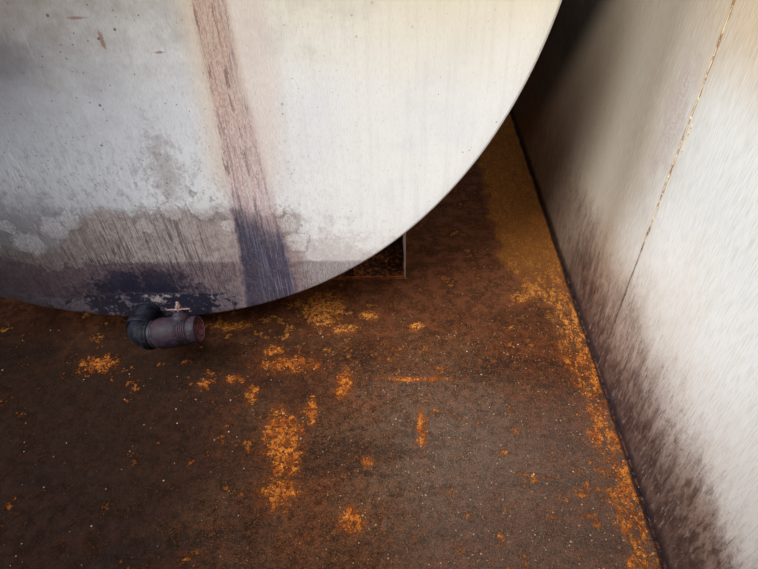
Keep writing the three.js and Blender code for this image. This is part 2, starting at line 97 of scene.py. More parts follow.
bpy.ops.object.select_all(action="DESELECT")
bpy.ops.mesh.primitive_plane_add(size=200, location=(0, 0, 0))
studio_floor = bpy.context.object
studio_floor.name = "studio_floor"
pale_sheet = bpy.data.materials.new("pale_sheet")
pale_sheet.use_nodes = True
pale_shader = pale_sheet.node_tree.nodes["Principled BSDF"]
pale_shader.inputs["Base Color"].default_value = (0.42, 0.41, 0.395, 1)
pale_shader.inputs["Roughness"].default_value = 0.9
studio_floor.data.materials.append(pale_sheet)


# Skid: four cross channels coped between two long ones, hot-rolled steel welded at every corner and
# painted black. The paint is scuffed and rusts through on the flanges and along the foot.
class Recipe:
    """Adds nodes to one tree, linking sockets and setting plain values."""

    def __init__(self, tree):
        self.tree = tree

    def wire(self, node, inputs):
        for key, value in inputs.items():
            if isinstance(value, bpy.types.NodeSocket):
                self.tree.links.new(value, node.inputs[key])
            else:
                node.inputs[key].default_value = value
        return node

    def add(self, kind, inputs, **settings):
        node = self.tree.nodes.new("ShaderNode" + kind)
        for name, value in settings.items():
            setattr(node, name, value)
        return self.wire(node, inputs)

    def group(self, tree, inputs):
        return self.add("Group", inputs, node_tree=tree).outputs

    def calc(self, operation, first, second=0.0):
        return self.add("Math", {0: first, 1: second}, operation=operation).outputs[0]

    def times(self, *values):
        return functools.reduce(functools.partial(self.calc, "MULTIPLY"), values)

    def plus(self, *values):
        return functools.reduce(functools.partial(self.calc, "ADD"), values)

    def larger(self, *values):
        return functools.reduce(functools.partial(self.calc, "MAXIMUM"), values)

    def smaller(self, *values):
        return functools.reduce(functools.partial(self.calc, "MINIMUM"), values)

    def minus(self, first, second):
        return self.calc("SUBTRACT", first, second)

    def unsigned(self, value):
        return self.calc("ABSOLUTE", value)

    def blend(self, amount, first, second, mode="MIX"):
        mixer = self.add("Mix", {0: amount, 6: first, 7: second}, data_type="RGBA", blend_type=mode)
        return mixer.outputs[2]

    def fade(self, value, low, high, start=0.0, end=1.0):
        stops = {0: value, 1: low, 2: high, 3: start, 4: end}
        return self.add("MapRange", stops, interpolation_type="SMOOTHSTEP").outputs[0]

    def moved(self, place, scale=(1, 1, 1), shift=(0, 0, 0)):
        return self.add("Mapping", {0: place, "Scale": scale, "Location": shift}).outputs[0]

    def noise(self, place, scale, detail=3.0, roughness=0.55):
        stops = {"Vector": place, "Scale": scale, "Detail": detail, "Roughness": roughness}
        return self.add("TexNoise", stops).outputs[0]

    def drawn(self, place, scale, stretch, detail=4.0, roughness=0.65):
        """Noise drawn out along Z, as brush strokes and runs are on an upright face."""
        return self.noise(self.moved(place, (1, 1, stretch)), scale, detail, roughness)

    def curls(self, place, scale, width):
        """Thin curly lines, where a noise crosses its middle value."""
        off = self.unsigned(self.minus(self.noise(place, scale, 2.0, 0.5), 0.5))
        return self.fade(off, width, width * 0.4)

    def grey(self, value):
        return self.add("CombineXYZ", {0: value, 1: value, 2: value}).outputs[0]

    def split(self, place):
        return self.add("SeparateXYZ", {0: place}).outputs

    def bump(self, height, depth, strength=1.0):
        return self.add("Bump", {"Height": height, "Distance": depth, "Strength": strength}).outputs[0]


def tint(red, green, blue):
    """A colour as it looks on a screen, 0 to 255, as the amount of light that it returns."""
    return tuple(((part / 255 + 0.055) / 1.055) ** 2.4 for part in (red, green, blue)) + (1,)


def new_group(name, inputs, outputs):
    tree = bpy.data.node_groups.new(name, "ShaderNodeTree")
    for label, kind in inputs:
        tree.interface.new_socket(label, in_out="INPUT", socket_type="NodeSocket" + kind)
    for label, kind in outputs:
        tree.interface.new_socket(label, in_out="OUTPUT", socket_type="NodeSocket" + kind)
    entry = tree.nodes.new("NodeGroupInput")
    leave = tree.nodes.new("NodeGroupOutput")
    return tree, Recipe(tree), entry.outputs, leave


def new_finish(name):
    material = bpy.data.materials.new(name)
    material.use_nodes = True
    recipe = Recipe(material.node_tree)
    place = recipe.add("TexCoord", {}).outputs["Object"]
    return material, recipe, material.node_tree.nodes["Principled BSDF"], place


# Rust that any bare or worn steel here shows, from dark scale to fresh orange
rust, r, given, out = new_group(
    "Rust",
    [("Place", "Vector"), ("Freshness", "Float")],
    [("Color", "Color"), ("Roughness", "Float"), ("Height", "Float")],
)
cloud = r.noise(given["Place"], 14.0, 7.0, 0.68)
grain = r.noise(given["Place"], 230.0, 4.0, 0.7)
aged = r.blend(r.fade(cloud, 0.36, 0.62), tint(52, 31, 24), tint(108, 62, 38))
fresh = r.blend(r.fade(cloud, 0.4, 0.64), tint(140, 70, 26), tint(190, 104, 44))
tone = r.blend(given["Freshness"], aged, fresh)
shade = r.fade(grain, 0.3, 0.7, 0.55, 1.25)
r.wire(out, {
    "Color": r.blend(1.0, tone, r.grey(shade), "MULTIPLY"),
    "Roughness": r.fade(grain, 0.3, 0.7, 0.62, 0.92),
    "Height": r.plus(r.times(cloud, 0.6), r.times(grain, 0.4)),
})

# Round specks and pits of one spacing, on a share of the places
specks, r, given, out = new_group(
    "Specks",
    [("Place", "Vector"), ("Scale", "Float"), ("Size", "Float"), ("Share", "Float")],
    [("Mask", "Float")],
)
cells = r.add("TexVoronoi", {"Vector": given["Place"], "Scale": given["Scale"]})
luck = r.add("SeparateColor", {0: cells.outputs["Color"]}).outputs
size = r.times(given["Size"], r.fade(luck[1], 0.0, 1.0, 0.4, 1.0))
dot = r.calc("LESS_THAN", cells.outputs["Distance"], size)
r.wire(out, {"Mask": r.times(dot, r.calc("LESS_THAN", luck[0], given["Share"]))})

# How far a place is from an oval's middle: 1 on its edge
oval, r, given, out = new_group(
    "Oval", [("Place", "Vector"), ("Middle", "Vector"), ("Reach", "Vector")], [("Away", "Float")])
away = r.add("VectorMath", {0: given["Place"], 1: given["Middle"]}, operation="SUBTRACT").outputs[0]
share = r.add("VectorMath", {0: away, 1: given["Reach"]}, operation="DIVIDE").outputs[0]
r.wire(out, {"Away": r.add("VectorMath", {0: share}, operation="LENGTH").outputs["Value"]})

# How far the edge of a ragged blotch wanders, for blotches of one grain
wander, r, given, out = new_group(
    "Wandering edge", [("Place", "Vector"), ("Grain", "Float")], [("Wander", "Float")])
coarse = r.minus(r.noise(given["Place"], given["Grain"], 5.0, 0.72), 0.5)
fine = r.minus(r.noise(given["Place"], r.times(given["Grain"], 5.0), 3.0, 0.65), 0.5)
r.wire(out, {"Wander": r.plus(r.times(coarse, 1.6), fine)})

# One ragged blotch with its middle and its half width, depth and height
patch, r, given, out = new_group(
    "Patch",
    [("Place", "Vector"), ("Middle", "Vector"), ("Reach", "Vector"), ("Ragged", "Float"), ("Grain", "Float"),
     ("Soft", "Float")],
    [("Mask", "Float")],
)
distance = r.group(oval, {key: given[key] for key in ("Place", "Middle", "Reach")})["Away"]
uneven = r.group(wander, {key: given[key] for key in ("Place", "Grain")})["Wander"]
edge = r.plus(distance, r.times(uneven, given["Ragged"]))
r.wire(out, {"Mask": r.fade(edge, r.plus(1.0, given["Soft"]), r.minus(1.0, given["Soft"]))})

skid_paint, r, shader, place = new_finish("worn_black_paint")
wear = r.noise(place, 9.0, 8.0, 0.7)
foot = r.fade(r.split(place)["Z"], 0.0, 0.05, 0.1, 0.0)
bare = r.fade(r.plus(wear, foot), 0.6, 0.66)
dust = r.fade(r.noise(place, 2.5, 4.0, 0.6), 0.4, 0.7, 0.0, 0.5)
paint = r.blend(dust, tint(38, 36, 36), tint(92, 84, 76))
scale_rust = r.group(rust, {"Place": place, "Freshness": 0.35})
r.wire(shader, {
    "Base Color": r.blend(bare, paint, scale_rust["Color"]),
    "Roughness": r.plus(r.times(bare, 0.3), 0.5),
    "Normal": r.bump(r.minus(scale_rust["Height"], bare), 0.0006),
})


SKID_NODES = [name for name in frame["nodes"] if name.startswith("skid_")]

weld_metal, r, shader, place = new_finish("rusty_weld")
weld_rust = r.group(rust, {"Place": place, "Freshness": r.fade(r.noise(place, 30.0), 0.4, 0.65)})
r.wire(shader, {
    "Base Color": weld_rust["Color"],
    "Roughness": weld_rust["Roughness"],
    "Normal": r.bump(weld_rust["Height"], 0.0005),
})
shader.inputs["Metallic"].default_value = 0.2

slag_clouds = bpy.data.textures.new("slag", "CLOUDS")
slag_clouds.noise_scale = 0.012


def take_up(piece):
    """The piece selected alone and active, for the next step on it."""
    bpy.ops.object.select_all(action="DESELECT")
    piece.select_set(True)
    bpy.context.view_layer.objects.active = piece


def fresh(add_primitive, **settings):
    """A new shape to start from, with its place, turn and size taken into its mesh."""
    bpy.ops.object.select_all(action="DESELECT")
    add_primitive(**settings)
    bpy.ops.object.transform_apply(location=True, rotation=True, scale=True)
    return bpy.context.object


def join_all(objects, name):
    """The pieces as one mesh, in the first one's place."""
    bpy.ops.object.select_all(action="DESELECT")
    for each in objects:
        each.select_set(True)
    bpy.context.view_layer.objects.active = objects[0]
    if len(objects) > 1:
        bpy.ops.object.join()
    joined = bpy.context.object
    joined.name = name
    joined.data.name = name
    return joined


def apply_modifier(piece, kind, **settings):
    """The modifier's effect taken into the piece's mesh."""
    bpy.context.view_layer.objects.active = piece
    modifier = piece.modifiers.new(kind.lower(), kind)
    for key, value in settings.items():
        setattr(modifier, key, value)
    bpy.ops.object.modifier_apply(modifier=modifier.name)


def complete(piece, name, material, body="tank", smooth=40):
    """Settles a modelled piece: place into the mesh, doubles merged, faces outwards, finish, body."""
    take_up(piece)
    bpy.ops.object.transform_apply(location=True, rotation=True, scale=True)
    bpy.ops.object.mode_set(mode="EDIT")
    bpy.ops.mesh.select_all(action="SELECT")
    bpy.ops.mesh.remove_doubles(threshold=0.00002)
    bpy.ops.mesh.normals_make_consistent(inside=False)
    bpy.ops.object.mode_set(mode="OBJECT")
    if smooth:
        bpy.ops.object.shade_smooth_by_angle(angle=math.radians(smooth))
    piece.name = name
    piece.data.name = name
    piece.data.materials.clear()
    piece.data.materials.append(material)
    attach(piece, body)
    return piece


def softened(node, name, material, width, segments=2):
    """The node's own shape with its edges rounded, as rolled or sheared steel has them."""
    mesh = frame["nodes"][node].data.copy()
    piece = bpy.data.objects.new(name, mesh)
    scene.collection.objects.link(piece)
    take_up(piece)
    bpy.ops.object.mode_set(mode="EDIT")
    bpy.ops.mesh.select_all(action="SELECT")
    bpy.ops.mesh.remove_doubles(threshold=0.00002)
    bpy.ops.mesh.dissolve_limited(angle_limit=math.radians(1))
    bpy.ops.object.mode_set(mode="OBJECT")
    apply_modifier(
        piece, "BEVEL", width=width, segments=segments, limit_method="ANGLE", angle_limit=math.radians(40))
    complete(piece, name, material)
    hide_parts(node)
    return piece


for name in SKID_NODES:
    softened(name, name.replace("skid", "skid_channel"), skid_paint, 0.0025)


def weld_bead(start, end, radius, pitch):
    """A straight run of overlapping ripples between two points of one axis's direction."""
    start, end = Vector(start), Vector(end)
    run = end - start
    along = run.normalized()
    count = max(2, round(run.length / pitch))
    bpy.ops.object.select_all(action="DESELECT")
    bpy.ops.mesh.primitive_uv_sphere_add(segments=8, ring_count=5, radius=1, location=start)
    ripple = bpy.context.object
    ripple.scale = [radius + abs(part) * (pitch * 0.9 - radius) for part in along]
    bpy.ops.object.transform_apply(location=False, rotation=False, scale=True)
    apply_modifier(
        ripple, "ARRAY", count=count, use_relative_offset=False, use_constant_offset=True,
        constant_offset_displace=run / count,
    )
    bpy.ops.object.transform_apply(location=True, rotation=False, scale=False)
    apply_modifier(
        ripple, "DISPLACE", texture=slag_clouds, strength=radius * 1.2, mid_level=0.5,
        texture_coords="LOCAL",
    )
    return ripple


runner_low, runner_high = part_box("skid_runner_right")
FLANGE = runner_high.x - runner_low.x
skid_beads = []
for name in SKID_NODES:
    if "cross" in name:
        low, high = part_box(name)
        for side in (-1, 1):
            x = side * (runner_high.x - FLANGE)
            for level in (0.012, runner_high.z - 0.012):
                skid_beads.append(weld_bead((x, low.y, level), (x, high.y, level), 0.004, 0.008))
complete(join_all(skid_beads, "skid_welds"), "skid_welds", weld_metal)

# Dike floor: one plate welded all round to the walls, under years of spilt product. Dark oily rust
# with orange blisters where water stood, a fresh band along the walls, and loose scale and grit.
wall_low, wall_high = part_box("dike_wall_right_front")
BAY_SIDE = wall_low.x
BAY_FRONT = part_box("dike_wall_front")[1].y
BAY_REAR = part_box("dike_wall_rear")[0].y
WALL_TOP = wall_high.z
oily_rust, r, shader, place = new_finish("oily_rusty_floor")
parts = r.split(place)
cloud = r.noise(place, 2.6, 5.0, 0.62)
mottle = r.noise(place, 19.0, 7.0, 0.7)
crust = r.noise(place, 85.0, 6.0, 0.72)
grain = r.noise(place, 420.0, 3.0, 0.7)
ground = r.blend(r.fade(cloud, 0.38, 0.62), tint(90, 46, 22), tint(98, 64, 40))
ground = r.blend(r.fade(r.noise(place, 6.0, 6.0, 0.66), 0.48, 0.62, 0.0, 0.6), ground, tint(116, 58, 26))
dry_oil = r.group(patch, {
    "Place": place, "Middle": (0.95, HEAD_Y - 0.4, FLOOR_TOP), "Reach": (0.26, 0.27, 1), "Ragged": 0.9,
    "Grain": 9.0, "Soft": 0.5,
})["Mask"]
ground = r.blend(r.times(dry_oil, 0.5), ground, tint(114, 96, 80))
smears = r.noise(r.moved(place, (0.35, 1, 1)), 7.0, 8.0, 0.72)
ground = r.blend(r.fade(smears, 0.5, 0.64, 0.0, 0.7), ground, tint(44, 26, 16))
ground = r.blend(r.fade(mottle, 0.5, 0.58, 0.0, 0.55), ground, tint(52, 30, 18))
scale = r.noise(place, 44.0, 7.0, 0.75)
ground = r.blend(r.fade(scale, 0.52, 0.56, 0.0, 0.5), ground, tint(34, 20, 13))
ground = r.blend(r.fade(scale, 0.46, 0.42, 0.0, 0.4), ground, tint(132, 78, 44))
ground = r.blend(r.fade(crust, 0.52, 0.62, 0.0, 0.6), ground, tint(36, 21, 13))
ground = r.blend(r.fade(r.noise(place, 190.0, 3.0, 0.6), 0.52, 0.64, 0.0, 0.4), ground, tint(146, 98, 62))
dust = r.times(r.fade(parts["X"], 0.72, 1.0, 0.0, 0.4), r.fade(parts["Y"], HEAD_Y - 0.1, HEAD_Y - 0.45))
ground = r.blend(dust, ground, tint(116, 98, 88))
ORANGE_BLISTERS = [
    (0.556, 0.133, 0.070, 0.075), (0.731, 0.106, 0.032, 0.022), (0.451, -0.125, 0.085, 0.030),
    (0.658, -0.200, 0.022, 0.048), (0.479, -0.383, 0.045, 0.070), (0.507, -0.476, 0.034, 0.060),
    (0.495, -0.574, 0.048, 0.040), (0.230, 0.055, 0.075, 0.020), (0.192, -0.203, 0.022, 0.016),
    (0.284, -0.187, 0.030, 0.016), (0.893, 0.050, 0.026, 0.018), (0.902, -0.376, 0.014, 0.050),
    (0.886, -0.185, 0.085, 0.008), (1.288, 0.189, 0.030, 0.030), (0.705, -0.652, 0.030, 0.026),
    (0.400, -0.060, 0.030, 0.020), (0.640, 0.040, 0.040, 0.018), (0.360, -0.240, 0.018, 0.030),
    (-0.190, -0.120, 0.060, 0.035), (0.560, -0.300, 0.016, 0.040), (0.742, -0.480, 0.018, 0.014),
    (-0.550, -0.700, 0.070, 0.050), (-0.900, -0.300, 0.080, 0.060), (-0.300, -1.000, 0.090, 0.060),
    (0.300, -1.050, 0.070, 0.080), (1.000, -1.000, 0.080, 0.050), (-1.150, -0.950, 0.060, 0.090),
]
FAR_OFF = 100.0
nearest = FAR_OFF
for x, y, half_width, half_depth in ORANGE_BLISTERS:
    off_blister = r.group(oval, {
        "Place": place, "Middle": (x, HEAD_Y + y, FLOOR_TOP), "Reach": (half_width, half_depth, 1)})
    nearest = r.smaller(nearest, off_blister["Away"])
blister_edge = r.group(wander, {"Place": place, "Grain": 34.0})["Wander"]
blister_edge = r.plus(nearest, r.times(blister_edge, 2.2))
blisters = r.fade(blister_edge, 1.15, 0.85)
tarnish = r.fade(blister_edge, 2.0, 0.9)
ground = r.blend(r.times(tarnish, r.fade(crust, 0.44, 0.56, 0.1, 0.7)), ground, tint(150, 78, 30))
lace = r.larger(r.fade(r.noise(place, 64.0, 5.0, 0.72), 0.46, 0.5), r.curls(place, 90.0, 0.04))
stray = r.fade(r.plus(mottle, r.times(r.noise(place, 4.0, 4.0, 0.6), 0.6)), 0.9, 0.98)
side = r.unsigned(parts["X"])
wobble = r.times(r.minus(r.noise(place, 11.0, 7.0, 0.74), 0.5), 0.26)
wider = r.plus(wobble, r.fade(parts["Y"], HEAD_Y + 0.05, HEAD_Y + 0.4, 0.0, 0.16))
wall_band = r.fade(r.plus(side, wider), 1.38, 1.43)
under_tank = r.fade(parts["Y"], HEAD_Y - 0.1, HEAD_Y + 0.5, 1.0, 0.95)
flaked = r.noise(r.moved(place, (1, 0.4, 1)), 46.0, 6.0, 0.72)
band_holes = r.times(r.fade(crust, 0.43, 0.51, 0.2, 1.0), r.fade(flaked, 0.46, 0.53, 0.1, 1.0))
# Painted light: behind the head the band's holes close up, so the shaded far floor shows more bright orange
band_holes = r.larger(band_holes, r.fade(parts["Y"], HEAD_Y + 0.1, HEAD_Y + 0.5, 0.0, 0.7))
wall_band = r.times(wall_band, band_holes, under_tank)
orange = r.times(r.larger(blisters, r.times(stray, 0.8)), lace)
orange = r.larger(orange, wall_band)
gold = r.blend(r.fade(r.noise(place, 30.0, 4.0, 0.6), 0.36, 0.64), tint(164, 82, 26), tint(228, 136, 50))
# Painted light: the gold next to the head's foot, in the tank's shade, is brightened to a pale orange
gold = r.blend(r.fade(parts["Y"], HEAD_Y - 0.1, HEAD_Y + 0.08, 0.0, 0.8), gold, tint(255, 168, 76))
floor_color = r.blend(r.times(orange, 0.92), ground, gold)
curled = r.times(r.curls(place, 58.0, 0.03), r.fade(r.noise(place, 19.0, 4.0, 0.65), 0.5, 0.58))
floor_color = r.blend(r.times(curled, 0.4), floor_color, tint(182, 124, 78))
dusty = r.fade(r.plus(parts["X"], r.times(cloud, 0.6)), 0.6, 1.3, 0.1, 0.5)
grit = r.group(specks, {"Place": place, "Scale": 84.0, "Size": 0.19, "Share": dusty})["Mask"]
crumbs = r.group(specks, {"Place": place, "Scale": 30.0, "Size": 0.1, "Share": 0.16})["Mask"]
pale = r.larger(r.times(grit, 0.75), r.times(crumbs, 0.9))
floor_color = r.blend(pale, floor_color, tint(206, 176, 136))
shade = r.fade(grain, 0.32, 0.68, 0.3, 1.3)
floor_color = r.blend(1.0, floor_color, r.grey(shade), "MULTIPLY")
# The floor is darker towards the left, except on the orange blisters
darker_leftwards = r.fade(r.plus(parts["X"], r.times(cloud, 0.8)), 1.25, 0.4)
# Painted light: the floor under and behind the tank, which the tank shades, is made a paler orange-brown
painted_light_under_tank = r.fade(r.plus(parts["Y"], r.times(cloud, 0.6)), HEAD_Y + 0.2, HEAD_Y + 0.7)
not_orange = r.fade(orange, 0.2, 0.9, 1.0, 0.3)
floor_color = r.blend(r.times(darker_leftwards, not_orange, 0.8), floor_color, tint(20, 10, 6))
painted_light_under_tank = r.times(painted_light_under_tank, not_orange, r.fade(mottle, 0.42, 0.54, 0.85, 0.3))
floor_color = r.blend(painted_light_under_tank, floor_color, tint(140, 84, 54))
corner = r.fade(r.plus(side, r.times(wobble, 0.08)), BAY_SIDE - 0.016, BAY_SIDE - 0.008)
floor_color = r.blend(r.times(corner, 0.9), floor_color, tint(40, 29, 31))
floor_height = r.plus(r.times(crust, 0.6), r.times(grain, 0.25))
floor_height = r.plus(floor_height, r.plus(r.times(orange, 0.5), curled))
r.wire(shader, {
    "Base Color": floor_color,
    "Roughness": r.fade(r.plus(mottle, r.times(orange, 0.3)), 0.35, 0.7, 0.6, 0.95),
    "Normal": r.bump(r.plus(floor_height, pale), 0.003),
})
shader.inputs["Specular IOR Level"].default_value = 0.16


def dress(names, material):
    """The material on nodes that are shown as they are."""
    for name in names:
        node = frame["nodes"][name]
        node.data.materials.clear()
        node.data.materials.append(material)


dress(["dike_floor"], oily_rust)

corner_metal, r, shader, place = new_finish("oily_corner_weld")
# Glossy spots on the oily corner weld: lower roughness, and a pale blue-grey colour that is a painted glint
glossy_glint = r.fade(r.noise(place, 70.0, 5.0, 0.7), 0.6, 0.68)
oily_bead = r.blend(r.fade(r.noise(place, 48.0, 6.0, 0.75), 0.44, 0.56), tint(22, 16, 20), tint(82, 50, 36))
r.wire(shader, {
    "Base Color": r.blend(glossy_glint, oily_bead, tint(118, 112, 124)),
    "Roughness": r.fade(glossy_glint, 0.0, 1.0, 0.8, 0.35),
    "Normal": r.bump(r.noise(place, 160.0, 5.0, 0.7), 0.002),
})
shader.inputs["Specular IOR Level"].default_value = 0.2
floor_beads = []
for side in (-1, 1):
    edge = side * BAY_SIDE
    floor_beads.append(
        weld_bead((edge, BAY_FRONT, FLOOR_TOP), (edge, BAY_REAR, FLOOR_TOP), 0.005, 0.009))
for end in (BAY_FRONT, BAY_REAR):
    floor_beads.append(
        weld_bead((-BAY_SIDE, end, FLOOR_TOP), (BAY_SIDE, end, FLOOR_TOP), 0.006, 0.009))
complete(join_all(floor_beads, "dike_floor_welds"), "dike_floor_welds", corner_metal)

chance = random.Random(20)


def grains(spots, smallest, largest, name, material):
    """Crumbs of scale lying on the floor at the given spots, each a little different."""
    bpy.ops.object.select_all(action="DESELECT")
    bpy.ops.mesh.primitive_ico_sphere_add(subdivisions=1, radius=1, location=(0, 0, 0))
    crumb = bpy.context.object
    apply_modifier(crumb, "DISPLACE", texture=slag_clouds, strength=0.4, texture_coords="LOCAL")
    crumbs = []
    for x, y in spots:
        copy = crumb.copy()
        copy.data = crumb.data.copy()
        scene.collection.objects.link(copy)
        width = chance.uniform(smallest, largest)
        copy.location = (x, y, FLOOR_TOP + width * 0.2)
        copy.scale = (width, width * chance.uniform(0.5, 1.3), width * 0.5)
        copy.rotation_euler = (0, 0, chance.uniform(0, math.pi))
        crumbs.append(copy)
    bpy.data.objects.remove(crumb)
    return complete(join_all(crumbs, name), name, material, smooth=0)


pale_scale, r, shader, place = new_finish("loose_pale_scale")
r.wire(shader, {
    "Base Color": r.blend(r.fade(r.noise(place, 90.0), 0.35, 0.65), tint(132, 94, 70), tint(214, 190, 168)),
    "Roughness": r.fade(r.noise(place, 700.0), 0.3, 0.7, 0.7, 0.95),
})
gold_scale, r, shader, place = new_finish("golden_rust_crumbs")
r.wire(shader, {
    "Base Color": r.blend(r.fade(r.noise(place, 60.0), 0.35, 0.65), tint(150, 70, 26), tint(226, 134, 56)),
    "Roughness": r.fade(r.noise(place, 700.0), 0.3, 0.7, 0.75, 0.95),
})
open_floor = []
for i in range(520):
    x = chance.uniform(-BAY_SIDE + 0.02, BAY_SIDE - 0.02)
    open_floor.append((x, chance.uniform(BAY_FRONT + 0.02, HEAD_Y + 0.5)))
grains(open_floor, 0.001, 0.0028, "floor_grit", pale_scale)
banks = []
for i in range(1100):
    off_wall = 0.014 + abs(chance.gauss(0, 0.035))
    side = 1 if chance.random() < 0.5 else -1
    banks.append((side * (BAY_SIDE - off_wall), chance.uniform(BAY_FRONT + 0.02, HEAD_Y + 0.9)))
for x, y, half_width, half_depth in ORANGE_BLISTERS:
    for i in range(max(4, round(half_width * half_depth * 9000))):
        off_x, off_y = chance.gauss(0, half_width * 0.45), chance.gauss(0, half_depth * 0.45)
        banks.append((x + off_x, HEAD_Y + y + off_y))
grains(banks, 0.0012, 0.0034, "golden_rust", gold_scale)

# Dike walls: 6 mm plate brushed white by hand, two plates a side with an upright seam.
# Old product has stained the foot inside; outside, rain has washed rust down from the rim.
brush, r, given, out = new_group(
    "Brush marks", [("Place", "Vector")], [("Fine", "Float"), ("Broad", "Float")])
r.wire(out, {
    "Fine": r.drawn(given["Place"], 250.0, 0.09, 4.0, 0.66),
    "Broad": r.drawn(given["Place"], 60.0, 0.05, 5.0, 0.66),
})

wall_paint, r, shader, place = new_finish("brushed_white_wall")
parts = r.split(place)
strokes = r.group(brush, {"Place": place})
cloud = r.noise(place, 1.8, 4.0, 0.6)
mottle = r.noise(place, 24.0, 6.0, 0.7)
above = r.minus(parts["Z"], FLOOR_TOP)
side_inside = r.calc("LESS_THAN", r.unsigned(parts["X"]), BAY_SIDE + 0.001)
end_inside = r.calc("LESS_THAN", r.unsigned(parts["Y"]), BAY_REAR + 0.001)
inside = r.times(side_inside, end_inside)
# Base white: inside, paler low down and greyer higher up, which is painted light where the foot of the wall
# gets less light; outside, a plainer grey white
painted_light_base_white = r.blend(r.fade(above, 0.5, 0.8), tint(226, 227, 227), tint(208, 210, 209))
painted_light_base_white = r.blend(inside, tint(188, 186, 182), painted_light_base_white)
white = r.blend(r.fade(cloud, 0.4, 0.65, 0.0, 0.5), painted_light_base_white, tint(208, 203, 194))
yellowed = r.fade(r.plus(above, r.times(cloud, 0.3)), 1.02, 1.3, 0.0, 0.8)
white = r.blend(yellowed, white, tint(184, 160, 124))
# Painted shade: just behind the head's plane, where the tank shades the side walls, their inside is darkened
# to a warm grey
painted_shade_behind_head = r.fade(r.plus(parts["Y"], r.times(cloud, 0.3)), HEAD_Y - 0.15, HEAD_Y + 0.25)
painted_shade_behind_head = r.times(painted_shade_behind_head, r.fade(parts["Y"], HEAD_Y + 0.08, HEAD_Y + 0.38, 1.0, 0.0))
white = r.blend(r.times(painted_shade_behind_head, inside), white, tint(168, 155, 138))
# Painted light: further back in the gap beside the tank the wall is made paler and warmer
gap_glow = r.fade(parts["Y"], HEAD_Y + 0.05, HEAD_Y + 0.35, 0.0, 0.9)
white = r.blend(r.times(gap_glow, inside), white, tint(255, 240, 214))
# Painted shade: high up and far back between the tank and the side walls, where the tank shuts out the light,
# the wall is painted nearly black
painted_gap_shade = r.plus(parts["Y"], r.times(above, 0.8))
painted_gap_shade = r.fade(painted_gap_shade, HEAD_Y + 1.18, HEAD_Y + 1.4, 0.0, 0.93)
white = r.blend(r.times(painted_gap_shade, inside), white, tint(26, 19, 15))
white = r.blend(r.fade(strokes["Fine"], 0.5, 0.6, 0.0, 0.18), white, tint(128, 116, 106))
white = r.blend(r.fade(strokes["Fine"], 0.48, 0.38, 0.0, 0.16), white, tint(240, 238, 234))
white = r.blend(r.fade(strokes["Broad"], 0.48, 0.7, 0.0, 0.09), white, tint(160, 144, 126))
fingers = r.minus(r.drawn(place, 46.0, 0.16, 6.0, 0.72), 0.5)
tall = r.fade(r.noise(place, 2.4, 3.0, 0.5), 0.35, 0.65, 0.9, 1.15)
grit = r.minus(r.noise(place, 150.0, 4.0, 0.7), 0.5)
stain_level = r.plus(r.calc("DIVIDE", above, tall), r.times(fingers, 0.2))
stain_level = r.plus(stain_level, r.times(grit, 0.1))
blotch = r.drawn(place, 34.0, 0.35, 7.0, 0.74)
tanned = r.times(r.fade(stain_level, 0.7, 0.36, 0.0, 0.32), r.fade(mottle, 0.4, 0.6, 0.7, 1.0))
white = r.blend(r.times(tanned, inside), white, tint(196, 174, 154))
veil = r.times(r.fade(stain_level, 0.48, 0.22, 0.0, 0.5), r.fade(blotch, 0.4, 0.6, 0.6, 1.0))
white = r.blend(r.times(veil, inside), white, tint(166, 126, 98))
stain = r.fade(stain_level, 0.45, 0.12)
near_front = r.fade(parts["Y"], HEAD_Y - 0.3, HEAD_Y - 0.75)
stain = r.larger(stain, r.times(r.fade(stain_level, 0.41, 0.27), near_front))
stain = r.times(stain, r.fade(blotch, 0.38, 0.58, 0.76, 0.96))
far_end = r.fade(parts["Y"], HEAD_Y + 0.15, HEAD_Y + 0.5, 1.0, 0.3)
stain = r.times(stain, far_end)
stain_tone = r.blend(r.fade(blotch, 0.42, 0.58), tint(120, 86, 68), tint(80, 56, 48))
white = r.blend(r.times(stain, inside), white, stain_tone)
darkest = r.fade(r.plus(stain_level, r.times(parts["Y"], 0.08)), 0.12, -0.1, 0.0, 0.66)
darkest = r.times(darkest, far_end)
white = r.blend(r.times(darkest, inside), white, tint(48, 34, 35))
scratch = r.minus(r.drawn(place, 130.0, 0.22, 5.0, 0.72), 0.5)
pale_scratch = r.times(r.fade(scratch, 0.07, 0.12), r.times(stain, 0.5))
white = r.blend(r.times(pale_scratch, inside), white, tint(168, 146, 140))
dark_scratch = r.times(r.fade(scratch, -0.04, -0.1), r.fade(stain_level, 0.52, 0.25, 0.0, 0.55))
white = r.blend(r.times(dark_scratch, inside), white, tint(66, 48, 44))
soot = r.fade(r.plus(above, r.times(fingers, 0.05)), 0.05, 0.012, 0.0, 0.9)
white = r.blend(r.times(soot, inside), white, tint(44, 32, 38))
outside = r.minus(1.0, inside)
runs = r.fade(r.drawn(place, 9.0, 0.04, 5.0, 0.7), 0.56, 0.7)
runs = r.times(runs, r.fade(above, 0.1, 1.2, 0.1, 0.6))
outer_foot = r.fade(r.plus(above, r.times(fingers, 0.12)), 0.09, 0.0, 0.0, 0.75)
outer_dirt = r.larger(runs, outer_foot)
wall_rust = r.group(rust, {"Place": place, "Freshness": 0.5})
white = r.blend(r.times(outer_dirt, outside), white, wall_rust["Color"])
chips = r.group(specks, {"Place": place, "Scale": 24.0, "Size": 0.07, "Share": 0.12})["Mask"]
white = r.blend(r.times(chips, 0.75), white, tint(74, 54, 44))

